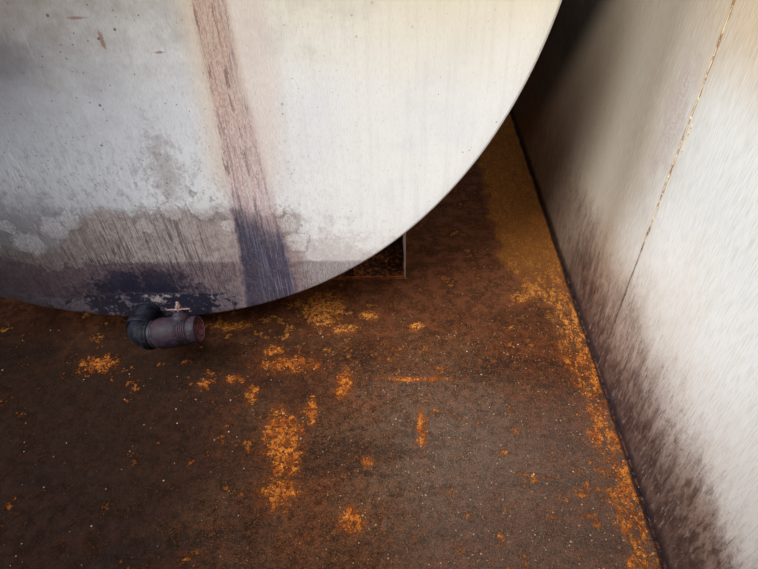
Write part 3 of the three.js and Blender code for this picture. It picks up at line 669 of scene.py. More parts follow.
# Beside the seam the paint has cracked in a fine brown line and a little rust has come through
SEAM_Y = wall_high.y
off_seam = r.minus(parts["Y"], SEAM_Y)
sway = r.times(r.minus(r.drawn(place, 24.0, 0.7, 5.0, 0.7), 0.5), 0.014)
crack = r.fade(r.unsigned(r.plus(off_seam, sway)), 0.007, 0.003)
crack = r.times(crack, r.fade(r.drawn(place, 60.0, 0.4), 0.38, 0.56, 0.25, 0.9))
crack_tone = r.blend(r.fade(above, 0.3, 0.6), tint(58, 40, 36), tint(120, 82, 52))
white = r.blend(r.times(crack, side_inside), white, crack_tone)
for x in (-BAY_SIDE, BAY_SIDE):
    smudge = r.group(patch, {
        "Place": place, "Middle": (x, SEAM_Y + 0.07, FLOOR_TOP + 0.85), "Reach": (1, 0.05, 0.16),
        "Ragged": 1.8, "Grain": 30.0, "Soft": 0.6,
    })["Mask"]
    smudge = r.times(smudge, r.fade(grit, -0.06, 0.06, 0.1, 0.4))
    white = r.blend(smudge, white, tint(150, 112, 106))
wall_height = r.plus(r.times(strokes["Fine"], 0.5), r.times(strokes["Broad"], 0.5))
r.wire(shader, {
    "Base Color": white,
    "Roughness": r.fade(strokes["Fine"], 0.3, 0.7, 0.42, 0.62),
    "Normal": r.bump(wall_height, 0.0006),
})
dress([name for name in frame["nodes"] if name.startswith("dike_wall")], wall_paint)

seam_metal, r, shader, place = new_finish("yellowed_seam")
knots = r.noise(place, 60.0, 5.0, 0.72)
height = r.fade(r.minus(r.split(place)["Z"], FLOOR_TOP), 0.3, 0.75)
painted = r.times(r.fade(knots, 0.4, 0.52), r.fade(height, 0.0, 1.0, 0.15, 1.0))
r.wire(shader, {
    "Base Color": r.blend(
        painted, r.blend(height, tint(84, 60, 50), tint(146, 104, 66)), tint(214, 196, 156)),
    "Roughness": r.fade(painted, 0.0, 1.0, 0.85, 0.5),
    "Normal": r.bump(knots, 0.0004),
})
wall_beads = []
for side in (-1, 1):
    for face in (BAY_SIDE, wall_high.x):
        x = side * face
        wall_beads.append(weld_bead((x, SEAM_Y, FLOOR_TOP), (x, SEAM_Y, WALL_TOP), 0.0016, 0.005))
        tack = (x, SEAM_Y - 0.016, FLOOR_TOP + 0.80)
        wall_beads.append(weld_bead(tack, (x, SEAM_Y - 0.016, FLOOR_TOP + 0.87), 0.0014, 0.004))
        for i in range(9):
            bpy.ops.object.select_all(action="DESELECT")
            bpy.ops.mesh.primitive_ico_sphere_add(
                subdivisions=2, radius=chance.uniform(0.0022, 0.0042),
                location=(x, SEAM_Y + chance.uniform(-0.003, 0.003), FLOOR_TOP + chance.uniform(0.45, 1.15)))
            knot = bpy.context.object
            knot.scale = (0.6, 1, chance.uniform(1, 2.4))
            bpy.ops.object.transform_apply(location=True, rotation=True, scale=True)
            wall_beads.append(knot)
complete(join_all(wall_beads, "dike_seam_welds"), "dike_seam_welds", seam_metal)
corner_beads = []
for side in (-1, 1):
    for end in (BAY_FRONT, BAY_REAR):
        x = side * BAY_SIDE
        corner_beads.append(weld_bead((x, end, FLOOR_TOP), (x, end, WALL_TOP), 0.005, 0.009))
complete(join_all(corner_beads, "dike_corner_welds"), "dike_corner_welds", weld_metal)

# Rim angles and stiffeners: rolled angle round the top of the dike and upright angles down to the
# skid, tacked on outside and painted with the walls. Paint has gone from their edges.
frame_paint, r, shader, place = new_finish("weathered_frame_paint")
parts = r.split(place)
strokes = r.group(brush, {"Place": place})
flaking = r.noise(place, 16.0, 8.0, 0.72)
low_down = r.fade(parts["Z"], 0.0, 0.25, 0.1, 0.0)
bare = r.fade(r.plus(flaking, low_down), 0.6, 0.64)
halo = r.fade(r.plus(flaking, low_down), 0.5, 0.62, 0.0, 0.6)
white = r.blend(r.fade(strokes["Fine"], 0.35, 0.7, 0.0, 0.3), tint(188, 183, 174), tint(134, 119, 100))
white = r.blend(halo, white, tint(166, 120, 78))
frame_rust = r.group(rust, {"Place": place, "Freshness": 0.55})
r.wire(shader, {
    "Base Color": r.blend(bare, white, frame_rust["Color"]),
    "Roughness": r.plus(r.times(bare, 0.35), 0.5),
    "Normal": r.bump(r.minus(r.times(frame_rust["Height"], 0.5), bare), 0.0005),
})
FRAME_NODES = [name for name in frame["nodes"] if name.startswith(("dike_rim", "stiffener"))]
for name in FRAME_NODES:
    softened(name, name + "_angle", frame_paint, 0.0015)
STITCHES = (0.2, 0.55, 0.9, 1.2)
STITCH_LENGTH = 0.06
rim_beads = []
for name in FRAME_NODES:
    low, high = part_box(name)
    if name.startswith(("stiffener_left", "stiffener_right")):
        heels = [(low.x if low.x > 0 else high.x, y) for y in (low.y, high.y)]
    elif name.startswith("stiffener"):
        heels = [(x, low.y if low.y > 0 else high.y) for x in (low.x, high.x)]
    else:
        heels = []
    for x, y in heels:
        for start in STITCHES:
            rim_beads.append(weld_bead((x, y, start), (x, y, start + STITCH_LENGTH), 0.003, 0.006))
complete(join_all(rim_beads, "stiffener_welds"), "stiffener_welds", weld_metal)

# Saddles: a flat base, an upright web cut to the tank's round, ribs and end plates, all welded and
# once white. Little paint is left: only the end plates' edges are still pale.
saddle_low, saddle_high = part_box("saddle_front")
saddle_rust, r, shader, place = new_finish("rusty_saddle")
parts = r.split(place)
flaking = r.noise(place, 11.0, 8.0, 0.7)
front_edge = r.fade(parts["Y"], saddle_low.y + 0.004, saddle_low.y + 0.001)
end_plate = r.calc("GREATER_THAN", r.unsigned(parts["X"]), saddle_high.x - 0.012)
end_face = r.minus(r.unsigned(parts["X"]), saddle_high.x - 0.012)
worn = r.plus(end_face, r.times(r.minus(flaking, 0.5), 0.012))
kept = r.fade(r.minus(worn, r.fade(parts["Z"], FLOOR_TOP + 0.2, FLOOR_TOP, 0.001, 0.007)), 0.0, 0.0015)
edge_paint = r.times(front_edge, end_plate, kept)
left_paint = r.larger(r.fade(flaking, 0.62, 0.67), edge_paint)
low_rust = r.fade(parts["Z"], FLOOR_TOP + 0.13, FLOOR_TOP + 0.005, 0.0, 0.6)
fresher = r.plus(low_rust, r.fade(flaking, 0.3, 0.6, 0.0, 0.5))
old_rust = r.group(rust, {"Place": place, "Freshness": fresher})
shadowed = r.fade(parts["Z"], FLOOR_TOP + 0.03, FLOOR_TOP + 0.14, 0.3, 0.92)
plates = r.blend(shadowed, old_rust["Color"], tint(36, 24, 19))
lumps = r.noise(place, 64.0, 8.0, 0.78)
plates = r.blend(0.62, plates, tint(58, 30, 17))
plates = r.blend(r.fade(lumps, 0.49, 0.55, 0.0, 0.85), plates, tint(24, 14, 10))
by_end = r.fade(end_face, -0.3, -0.02, 0.35, 1.0)
lumps = r.times(r.fade(lumps, 0.47, 0.43), r.times(low_rust, by_end))
plates = r.blend(r.times(lumps, 1.4), plates, tint(214, 124, 50))
foot_edge = r.times(r.fade(parts["Z"], FLOOR_TOP + 0.014, FLOOR_TOP + 0.011), front_edge)
foot_edge = r.times(foot_edge, r.fade(flaking, 0.38, 0.5, 0.2, 0.85))
plates = r.blend(foot_edge, plates, tint(176, 98, 42))
r.wire(shader, {
    "Base Color": r.blend(left_paint, plates, tint(206, 190, 184)),
    "Roughness": r.fade(left_paint, 0.0, 1.0, 0.85, 0.55),
    "Normal": r.bump(r.plus(old_rust["Height"], left_paint), 0.0007),
})
for end in ("front", "rear"):
    softened("saddle_" + end, end + "_saddle_plates", saddle_rust, 0.0012, 1)
saddle_beads = []
for name in ("saddle_front", "saddle_rear"):
    low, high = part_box(name)
    for y in (low.y, high.y):
        saddle_beads.append(weld_bead((low.x, y, FLOOR_TOP), (high.x, y, FLOOR_TOP), 0.006, 0.009))
    for x in (low.x, high.x):
        saddle_beads.append(weld_bead((x, low.y, FLOOR_TOP), (x, high.y, FLOOR_TOP), 0.006, 0.009))
complete(join_all(saddle_beads, "saddle_welds"), "saddle_welds", weld_metal)

# Tank: two courses of rolled plate and two flat heads with a tight knuckle, welded all round, and
# brushed white. The front head carries the tide marks and runs of years of drips and spills.
old_white, r, given, out = new_group(
    "Weathered white", [("Place", "Vector"), ("Slope", "Vector")],
    [("Color", "Color"), ("Roughness", "Float"), ("Height", "Float")],
)
strokes = r.group(brush, {"Place": given["Slope"]})
cloud = r.noise(given["Place"], 1.6, 5.0, 0.6)
mottle = r.noise(given["Place"], 24.0, 6.0, 0.7)
white = r.blend(r.fade(cloud, 0.35, 0.65), tint(180, 179, 177), tint(178, 171, 158))
white = r.blend(r.fade(strokes["Fine"], 0.44, 0.68, 0.0, 0.2), white, tint(128, 121, 114))
white = r.blend(r.fade(strokes["Broad"], 0.5, 0.72, 0.0, 0.18), white, tint(142, 130, 112))
dust = r.noise(given["Place"], 5.0, 8.0, 0.72)
white = r.blend(r.fade(dust, 0.5, 0.64, 0.0, 0.42), white, tint(132, 123, 110))
runs = r.fade(r.drawn(given["Slope"], 12.0, 0.05, 6.0, 0.72), 0.55, 0.68, 0.0, 0.45)
white = r.blend(runs, white, tint(112, 94, 76))
scuffs = r.times(r.fade(mottle, 0.56, 0.68), r.fade(dust, 0.46, 0.6, 0.1, 0.5))
white = r.blend(scuffs, white, tint(100, 88, 79))
chips = r.group(specks, {"Place": given["Place"], "Scale": 22.0, "Size": 0.1, "Share": 0.22})["Mask"]
white = r.blend(r.times(chips, 0.75), white, tint(104, 64, 40))
r.wire(out, {
    "Color": white,
    "Roughness": r.fade(strokes["Fine"], 0.3, 0.7, 0.42, 0.62),
    "Height": r.minus(strokes["Fine"], chips),
})

tank_paint, r, shader, place = new_finish("weathered_tank_paint")
parts = r.split(place)
turn = r.calc("ARCTAN2", parts["X"], r.minus(parts["Z"], TANK_AXIS))
down = r.times(turn, TANK_RADIUS)
round_shell = r.add("CombineXYZ", {1: parts["Y"], 2: down}).outputs[0]
old_paint = r.group(old_white, {"Place": place, "Slope": round_shell})
cloud = r.noise(place, 3.0, 5.0, 0.6)
belly = r.fade(r.plus(parts["Z"], r.times(cloud, 0.5)), 1.0, 0.45, 0.0, 0.7)
white = r.blend(belly, old_paint["Color"], tint(88, 74, 68))
CROWN_RUNS = (
    ("manway_flange", 0.2, 0.5), ("fill_pipe", 0.05, 0.45), ("vent_pipe", 0.035, 0.3),
    ("emergency_vent", 0.09, 0.4),
)
for node, half_width, length in CROWN_RUNS:
    low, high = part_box(node)
    fall = r.add("CombineXYZ", {1: parts["Y"], 2: r.unsigned(down)}).outputs[0]
    streaked = r.times(r.group(patch, {
        "Place": fall, "Middle": (0, (low.y + high.y) / 2, (high.x - low.x) / 2), "Soft": 0.5,
        "Reach": (1, half_width, length), "Ragged": 0.7, "Grain": 12.0,
    })["Mask"], r.fade(r.drawn(fall, 40.0, 0.04, 4.0, 0.65), 0.44, 0.62))
    white = r.blend(r.times(streaked, 0.6), white, tint(146, 92, 54))
r.wire(shader, {
    "Base Color": white,
    "Roughness": old_paint["Roughness"],
    "Normal": r.bump(old_paint["Height"], 0.0005),
})

rear_paint, r, shader, place = new_finish("weathered_rear_head")
old_paint = r.group(old_white, {"Place": place, "Slope": place})
low_dirt = r.fade(r.plus(r.split(place)["Z"], r.times(r.noise(place, 6.0, 6.0, 0.7), 0.4)), 1.0, 0.35)
r.wire(shader, {
    "Base Color": r.blend(r.times(low_dirt, 0.8), old_paint["Color"], tint(92, 70, 58)),
    "Roughness": old_paint["Roughness"],
    "Normal": r.bump(old_paint["Height"], 0.0005),
})

head_paint, r, shader, place = new_finish("stained_front_head")
parts = r.split(place)
x = parts["X"]
above = r.minus(parts["Z"], TANK_BOTTOM)
broad = r.noise(place, 2.2, 4.0, 0.6)
cloud = r.noise(place, 7.0, 5.0, 0.65)
mottle = r.noise(place, 26.0, 6.0, 0.7)
grit = r.noise(place, 150.0, 4.0, 0.7)
grain = r.drawn(place, 330.0, 0.2, 4.0, 0.7)
strokes = r.drawn(place, 70.0, 0.05, 4.0, 0.6)
threads = r.drawn(place, 230.0, 0.035, 4.0, 0.66)


def swing(noise, size):
    """The noise's departure from its middle, as a length."""
    return r.times(r.minus(noise, 0.5), size)


def stained(white, middle, reach, ragged, fineness, soft, amount, colour):
    """The paint with one ragged stain on it, placed across the head and above its lowest point."""
    across, level = middle
    half_width, half_height = reach
    mask = r.group(patch, {
        "Place": place, "Middle": (across, HEAD_Y, TANK_BOTTOM + level), "Soft": soft,
        "Reach": (half_width, 1, half_height), "Ragged": ragged, "Grain": fineness,
    })["Mask"]
    return r.blend(r.times(mask, amount), white, colour)


# Base white: a little paler low down, painted light where the foot of the head gets less light, and cooler
# towards the left as part of the painted shade there
white = r.blend(r.fade(above, 0.45, 0.8), tint(250, 250, 248), tint(245, 244, 240))
white = r.blend(r.fade(r.plus(x, broad), 1.3, 0.5), white, tint(226, 229, 236))
white = r.blend(r.fade(broad, 0.5, 0.62, 0.0, 0.4), white, tint(226, 231, 238))
creamy = r.fade(r.plus(above, swing(broad, 0.3)), 0.72, 1.14)
creamy = r.times(creamy, r.fade(x, 0.3, 0.8, 0.3, 0.85))
creamy = r.times(creamy, r.fade(r.plus(above, swing(strokes, 1.6)), 1.25, 1.9, 1.0, 0.25))
white = r.blend(creamy, white, tint(234, 219, 182))
rust_spots = r.group(specks, {"Place": place, "Scale": 60.0, "Size": 0.14, "Share": 0.5})["Mask"]
rust_spots = r.times(rust_spots, r.times(r.fade(x, 0.85, 0.95), r.fade(cloud, 0.54, 0.6)))
white = r.blend(r.times(rust_spots, 0.7), white, tint(170, 112, 64))
white = r.blend(r.fade(strokes, 0.46, 0.7, 0.0, 0.12), white, tint(186, 178, 168))
grained = r.times(r.fade(grain, 0.48, 0.66), r.fade(x, 1.0, 0.2, 0.1, 0.3))
white = r.blend(grained, white, tint(150, 145, 142))

# Painted shade on the left half, as a thin cool grey film; brownish dirt at its top, with grey smudges and
# dark flecks
film = r.fade(r.plus(x, swing(broad, 0.3)), 0.57, -0.3)
film = r.times(film, r.fade(r.plus(above, swing(strokes, 2.2)), 1.75, 1.05, 0.08, 1.0))
film = r.times(film, r.fade(above, 0.5, 0.85, 0.62, 0.86))
white = r.blend(film, white, tint(90, 94, 106))
white = stained(white, (-0.45, 1.22), (0.95, 0.36), 0.6, 5.0, 0.6, 0.7, tint(98, 80, 64))
rain = r.fade(r.drawn(place, 15.0, 0.05, 7.0, 0.74), 0.48, 0.66, 0.0, 0.6)
rain = r.times(rain, r.fade(above, 1.0, 1.35))
white = r.blend(rain, white, tint(138, 122, 106))
white = stained(white, (-0.1, 0.88), (0.08, 0.05), 0.6, 9.0, 0.7, 0.42, tint(60, 60, 68))
white = stained(white, (0.2, 0.58), (0.035, 0.11), 2.6, 34.0, 0.7, 0.45, tint(124, 106, 102))
white = stained(white, (-0.24, 0.37), (0.22, 0.1), 1.6, 14.0, 0.5, 0.42, tint(92, 86, 90))
RUST_SCRATCHES = (
    ((0.155, 0.925), (0.005, 0.022)), ((0.115, 0.975), (0.022, 0.003)), ((0.28, 0.895), (0.014, 0.003)))
for middle, reach in RUST_SCRATCHES:
    white = stained(white, middle, reach, 1.4, 60.0, 0.4, 0.7, tint(124, 84, 64))
low_left = r.times(r.fade(x, 0.75, 0.1, 0.08, 1.0), r.fade(r.plus(above, swing(cloud, 0.3)), 0.82, 0.5))
brushed = r.drawn(place, 60.0, 0.45, 5.0, 0.72)
smudges = r.times(r.fade(brushed, 0.46, 0.6), r.fade(grit, 0.44, 0.56, 0.2, 1.0))
white = r.blend(r.times(smudges, low_left, 0.6), white, tint(112, 108, 110))
lifted = r.fade(r.drawn(place, 280.0, 0.07, 3.0, 0.6), 0.54, 0.66)
lifted = r.times(lifted, r.fade(cloud, 0.42, 0.56, 0.2, 1.0))
white = r.blend(r.times(lifted, low_left, 0.5), white, tint(222, 222, 228))
scabby = r.times(r.fade(r.noise(place, 70.0, 5.0, 0.75), 0.6, 0.66), r.fade(cloud, 0.46, 0.6))
white = r.blend(r.times(scabby, low_left, 0.65), white, tint(92, 86, 88))
left_half = r.fade(x, 0.9, 0.2, 0.2, 1.0)
flecks = r.group(specks, {"Place": place, "Scale": 74.0, "Size": 0.15, "Share": 0.2})["Mask"]
spots = r.group(specks, {"Place": place, "Scale": 22.0, "Size": 0.08, "Share": 0.4})["Mask"]
flecks = r.times(r.larger(flecks, spots), left_half)
white = r.blend(r.times(flecks, 0.75), white, tint(66, 60, 62))

# Towards the left the foot of the head is darker still, with painted shade
shady = r.times(r.fade(r.plus(x, swing(cloud, 0.2)), 0.02, -0.45), r.fade(above, 0.7, 0.25))

# The tide mark, ragged and blistered at its top, darker and purple below an old level line, with a
# navy bloom behind the valve and a paler flaked strip under a second level line
tide_top = r.fade(x, -0.24, -0.04, 0.32, 0.448)
rough_edge = r.plus(swing(cloud, 0.12), r.plus(swing(mottle, 0.1), swing(grit, 0.08)))
under = r.minus(r.plus(above, rough_edge), tide_top)
tide = r.times(r.fade(under, 0.02, -0.02), r.fade(r.plus(x, swing(mottle, 0.2)), 0.58, 0.5))
tide_tone = r.blend(r.fade(cloud, 0.4, 0.62), tint(158, 147, 144), tint(128, 115, 112))
tide_tone = r.blend(r.fade(x, 0.08, 0.3, 0.0, 0.4), tide_tone, tint(186, 162, 158))
tide_tone = r.blend(r.fade(mottle, 0.48, 0.58, 0.0, 0.55), tide_tone, tint(104, 92, 90))
tide_tone = r.blend(r.fade(grain, 0.46, 0.6, 0.0, 0.5), tide_tone, tint(92, 82, 80))
tide_tone = r.blend(r.fade(grit, 0.54, 0.66, 0.0, 0.55), tide_tone, tint(190, 182, 178))
white = r.blend(r.times(tide, 0.88), white, tide_tone)
drips = r.times(r.fade(threads, 0.49, 0.58), r.fade(r.noise(place, 5.0, 3.0, 0.6), 0.38, 0.52, 0.15, 1.0))
drips = r.times(drips, r.fade(r.drawn(place, 60.0, 0.25, 4.0, 0.7), 0.38, 0.5))
drips = r.times(drips, r.fade(above, 0.46, 0.36, 0.5, 1.0))
drips = r.times(drips, r.fade(x, 0.4, 0.1, 0.4, 1.0))
white = r.blend(r.times(drips, tide, 0.8), white, tint(74, 60, 58))
white = stained(white, (0.60, 0.18), (0.20, 0.17), 1.6, 20.0, 0.5, 0.42, tint(160, 130, 126))
level_wobble = r.plus(swing(mottle, 0.014), swing(grit, 0.012))
lost = r.times(r.fade(x, 0.02, -0.3), r.plus(swing(mottle, 0.2), swing(cloud, 0.2)))
level_wobble = r.plus(level_wobble, lost)
older = r.fade(r.plus(above, level_wobble), 0.258, 0.244)
older = r.times(older, r.fade(r.plus(x, swing(cloud, 0.3)), 0.82, 0.62))
older_tone = r.blend(r.fade(cloud, 0.42, 0.6), tint(120, 101, 109), tint(98, 77, 85))
older_tone = r.blend(r.fade(grain, 0.46, 0.62, 0.0, 0.5), older_tone, tint(60, 48, 58))
older_tone = r.blend(r.fade(grit, 0.55, 0.66, 0.0, 0.4), older_tone, tint(150, 138, 142))
white = r.blend(r.times(older, r.fade(x, 0.05, 0.5, 0.85, 0.4)), white, older_tone)
white = r.blend(r.times(drips, older, 0.6), white, tint(54, 42, 52))
NAVY_STAINS = (((-0.07, 0.17), (0.07, 0.07)), ((0.06, 0.165), (0.1, 0.06)), ((0.0, 0.12), (0.2, 0.05)))
for middle, reach in NAVY_STAINS:
    white = stained(white, middle, reach, 1.7, 16.0, 0.55, 0.84, tint(20, 24, 46))
white = r.blend(r.times(r.fade(grain, 0.45, 0.6), older, 0.4), white, tint(44, 40, 54))
strip = r.fade(r.plus(above, level_wobble), 0.124, 0.113)
strip = r.times(strip, r.fade(r.plus(x, swing(cloud, 0.2)), 0.42, 0.3))
white = r.blend(r.times(strip, 0.7), white, r.blend(
    r.fade(grit, 0.42, 0.58), tint(92, 84, 98), tint(134, 122, 130)))
near_drain = r.fade(r.unsigned(r.plus(x, swing(cloud, 0.3))), 0.3, 0.12)
blooms = r.plus(r.noise(place, 20.0, 6.0, 0.75), r.times(near_drain, 0.16))
blooms = r.times(strip, r.fade(blooms, 0.56, 0.62))
white = r.blend(r.times(blooms, 0.92), white, tint(20, 24, 46))
scabs = r.times(strip, r.fade(r.noise(place, 34.0, 6.0, 0.75), 0.6, 0.64))
scabs = r.times(scabs, r.fade(r.unsigned(r.minus(x, 0.1)), 0.26, 0.1, 0.2, 1.0))
white = r.blend(r.times(scabs, 0.6), white, tint(176, 166, 170))
PALE_FLAKES = (((0.036, 0.09), (0.02, 0.014)), ((0.0, 0.107), (0.008, 0.005)), ((0.07, 0.105), (0.01, 0.005)))
for middle, reach in PALE_FLAKES:
    white = stained(white, middle, reach, 3.2, 110.0, 0.3, 0.75, tint(182, 170, 170))
# Painted shade at the lower left of the head
white = r.blend(r.times(shady, 0.72), white, tint(40, 36, 40))

# Round blisters where the paint has lifted, a little paler inside a thin dirty ring
blister_group, b, given, out = new_group(
    "Blister", [("Place", "Vector"), ("Middle", "Vector"), ("Half", "Float")],
    [("Inside", "Float"), ("Ring", "Float")],
)
away = b.add("VectorMath", {0: given["Place"], 1: given["Middle"]}, operation="DISTANCE").outputs["Value"]
uneven = b.times(b.minus(b.noise(given["Place"], 34.0, 5.0, 0.7), 0.5), 1.6)
ratio = b.plus(b.calc("DIVIDE", away, given["Half"]), uneven)
b.wire(out, {
    "Inside": b.fade(ratio, 1.05, 0.7),
    "Ring": b.times(b.fade(ratio, 1.2, 1.05), b.fade(ratio, 0.9, 1.02)),
})
PAINT_BLISTERS = [
    (-0.329, 0.396, 0.030), (-0.290, 0.330, 0.052), (-0.190, 0.386, 0.046), (-0.128, 0.416, 0.034),
    (0.087, 0.394, 0.028), (0.180, 0.440, 0.034), (0.274, 0.457, 0.044), (0.338, 0.390, 0.026),
    (0.487, 0.438, 0.022), (0.515, 0.392, 0.034), (0.530, 0.325, 0.040),
]
raised = 0.0
# The blisters' pale insides are darker and greyer towards the left, a shaded copy under the painted shade
# there
pale = r.blend(r.fade(x, -0.1, 0.6), tint(172, 170, 174), tint(234, 230, 227))
lighter = r.times(r.fade(grain, 0.4, 0.6, 0.7, 0.2), r.fade(grit, 0.4, 0.6, 1.0, 0.5))
dirty = r.fade(mottle, 0.42, 0.56, 0.05, 0.5)
for across, level, half in PAINT_BLISTERS:
    blister = r.group(blister_group, {
        "Place": place, "Middle": (across, HEAD_Y, TANK_BOTTOM + level), "Half": half})
    white = r.blend(r.times(blister["Inside"], lighter), white, pale)
    white = r.blend(r.times(blister["Ring"], dirty), white, tint(104, 94, 96))
    raised = r.larger(raised, blister["Inside"])

# A long run from the coupling high on the head: dry, pinkish and stippled above, with dark threads
# along it and a cream halo, and a wet slate-blue foot
drop = r.calc("DIVIDE", r.minus(1.0, above), 0.92)
spread = r.times(r.calc("POWER", r.larger(drop, 0.0), 1.6), 0.052)
run_half = r.plus(spread, 0.041)
sway = r.plus(swing(r.drawn(place, 14.0, 0.15), 0.03), r.plus(swing(threads, 0.02), swing(grit, 0.016)))
across_run = r.calc("DIVIDE", r.plus(r.minus(x, 0.42), sway), run_half)
off_run = r.unsigned(across_run)
right_side = r.times(r.fade(across_run, 0.5, 1.5), r.fade(above, 0.5, 0.95, 0.2, 1.4))
halo = r.times(r.fade(r.minus(off_run, right_side), 2.4, 0.9), r.fade(above, 0.42, 0.6))
halo = r.times(halo, r.fade(grain, 0.4, 0.6, 0.35, 0.75))
halo_tone = r.blend(r.fade(across_run, -0.5, 0.5), tint(216, 192, 164), tint(222, 202, 190))
white = r.blend(halo, white, halo_tone)
run = r.fade(off_run, 1.3, 0.7)
stipple = r.fade(r.drawn(place, 260.0, 0.4, 3.0, 0.7), 0.42, 0.6)
dry = r.blend(r.fade(above, 0.5, 0.95), tint(222, 198, 197), tint(206, 178, 158))
dry = r.blend(r.times(stipple, 0.6), dry, tint(150, 120, 116))
dry = r.blend(r.times(r.fade(threads, 0.52, 0.64), 0.55), dry, tint(124, 94, 94))
white = r.blend(r.times(run, r.fade(strokes, 0.36, 0.6, 0.6, 0.95)), white, dry)
THREADS = (
    (-0.86, 0.12, 0.7), (-0.6, 0.05, 0.5), (-0.2, 0.05, 0.35), (0.14, 0.09, 0.65), (0.5, 0.06, 0.45),
    (0.8, 0.07, 0.4),
)
for middle, half, amount in THREADS:
    line = r.fade(r.unsigned(r.minus(across_run, middle)), half, half * 0.2)
    broken = r.fade(r.drawn(place, 40.0, 0.3, 4.0, 0.7), 0.42, 0.56, 0.0, 1.0)
    line = r.times(line, broken, amount)
    white = r.blend(line, white, tint(92, 66, 68))
peak = r.times(r.fade(across_run, -0.5, 0.9), 0.06)
wet_top = r.plus(above, peak, r.plus(swing(threads, 0.3), swing(mottle, 0.14)))
wet = r.times(r.fade(r.plus(off_run, swing(mottle, 0.7)), 1.18, 0.85), r.fade(wet_top, 0.52, 0.36))
slate = r.blend(r.fade(across_run, -1.0, 1.0), tint(64, 62, 78), tint(78, 76, 94))
slate = r.blend(r.fade(r.noise(place, 16.0, 5.0, 0.7), 0.42, 0.58, 0.0, 0.75), slate, tint(46, 50, 76))
slate = r.blend(r.fade(grain, 0.46, 0.6, 0.0, 0.5), slate, tint(38, 36, 52))
slate = r.blend(r.fade(grit, 0.54, 0.66, 0.0, 0.4), slate, tint(138, 132, 148))
white = r.blend(r.times(wet, 0.94), white, slate)
scratches = r.times(r.fade(r.drawn(place, 260.0, 0.02, 3.0, 0.6), 0.52, 0.64), wet)
scratches = r.times(scratches, r.fade(across_run, -0.9, 0.6, 0.15, 0.55))
white = r.blend(scratches, white, tint(156, 154, 174))
head_height = r.plus(r.times(grain, 0.5), r.times(mottle, 0.3))
head_height = r.plus(head_height, r.plus(r.times(raised, 0.8), r.times(grit, 0.3)))
r.wire(shader, {
    "Base Color": white,
    "Roughness": r.fade(wet, 0.0, 1.0, 0.5, 0.34),
    "Normal": r.bump(head_height, 0.0008),
})


def drawn_profile(points):
    """A line through the points [across, along], drawn in the XZ plane by extruding one corner."""
    bpy.ops.object.select_all(action="DESELECT")
    bpy.ops.mesh.primitive_plane_add(size=0.001, location=(0, 0, 0))
    bpy.ops.object.mode_set(mode="EDIT")
    bpy.ops.mesh.select_all(action="SELECT")
    bpy.ops.mesh.merge(type="CENTER")
    last = Vector((0, 0, 0))
    for i, (across, along) in enumerate(points):
        step = Vector((across, 0, along)) - last
        last += step
        if i:
            bpy.ops.mesh.extrude_region_move(TRANSFORM_OT_translate={"value": step})
        else:
            bpy.ops.transform.translate(value=step)
    bpy.ops.mesh.select_all(action="SELECT")
    return bpy.context.object


def lathed(points, steps, place=None):
    """The profile [radius, along] spun about Z, then moved by the given placing."""
    piece = drawn_profile(points)
    bpy.ops.mesh.spin(steps=steps, angle=math.tau, center=(0, 0, 0), axis=(0, 0, 1))
    bpy.ops.mesh.select_all(action="SELECT")
    bpy.ops.mesh.remove_doubles(threshold=0.00002)
    bpy.ops.mesh.normals_make_consistent(inside=False)
    bpy.ops.object.mode_set(mode="OBJECT")
    if place is not None:
        piece.matrix_world = place
        bpy.ops.object.transform_apply(location=True, rotation=True, scale=True)
    return piece


# Turns Z into +Y, so that what is lathed about Z lies along the tank
ALONG_TANK = Matrix.Rotation(-math.pi / 2, 4, "X")
HEAD_PLATE = 0.006
KNUCKLE = 0.010
shell_low, shell_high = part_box("shell_front_lower")
COURSE_START = shell_low.y
COURSE_SEAM = shell_high.y
COURSE_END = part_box("shell_rear_lower")[1].y
SHELL_PLATE = 0.005
ROUND_STEPS = 256


def head_profile():
    """A flat head of one plate with a tight knuckle into its short skirt, from its middle outwards."""
    rim = TANK_RADIUS - KNUCKLE
    depth = COURSE_START - HEAD_Y
    points = [(0, 0), (rim * 0.5, 0), (rim - 0.03, 0)]
    for i in range(7):
        bend = i / 6 * math.pi / 2
        points.append((rim + KNUCKLE * math.sin(bend), KNUCKLE * (1 - math.cos(bend))))
    points += [(TANK_RADIUS, depth), (TANK_RADIUS - HEAD_PLATE, depth)]
    points += [(rim, HEAD_PLATE + 0.001), (rim * 0.5, HEAD_PLATE), (0, HEAD_PLATE)]
    return points


front_place = Matrix.Translation((0, HEAD_Y, TANK_AXIS)) @ ALONG_TANK
front_head = lathed(head_profile(), ROUND_STEPS, front_place)
complete(front_head, "front_head", head_paint, smooth=30)
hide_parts("head_front")
head_rear_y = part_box("head_rear")[1].y
rear_place = Matrix.Translation((0, head_rear_y, TANK_AXIS)) @ Matrix.Rotation(math.pi / 2, 4, "X")
rear_head = lathed(head_profile(), ROUND_STEPS, rear_place)
complete(rear_head, "rear_head", rear_paint, smooth=30)
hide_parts("head_rear")


def shell_course(start, end):
    """A course of rolled plate from one place along the tank to another."""
    inner = TANK_RADIUS - SHELL_PLATE
    outer = TANK_RADIUS
    length = end - start
    points = [(inner, 0), (outer, 0), (outer, length / 2), (outer, length), (inner, length), (inner, 0)]
    return lathed(points, ROUND_STEPS, Matrix.Translation((0, start, TANK_AXIS)) @ ALONG_TANK)


front_course = shell_course(COURSE_START, COURSE_SEAM)
complete(front_course, "front_course", tank_paint, smooth=30)
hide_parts("shell_front_lower", "shell_front_upper")
rear_course = shell_course(COURSE_SEAM, COURSE_END)
complete(rear_course, "rear_course", tank_paint, smooth=30)
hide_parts("shell_rear_lower", "shell_rear_upper")


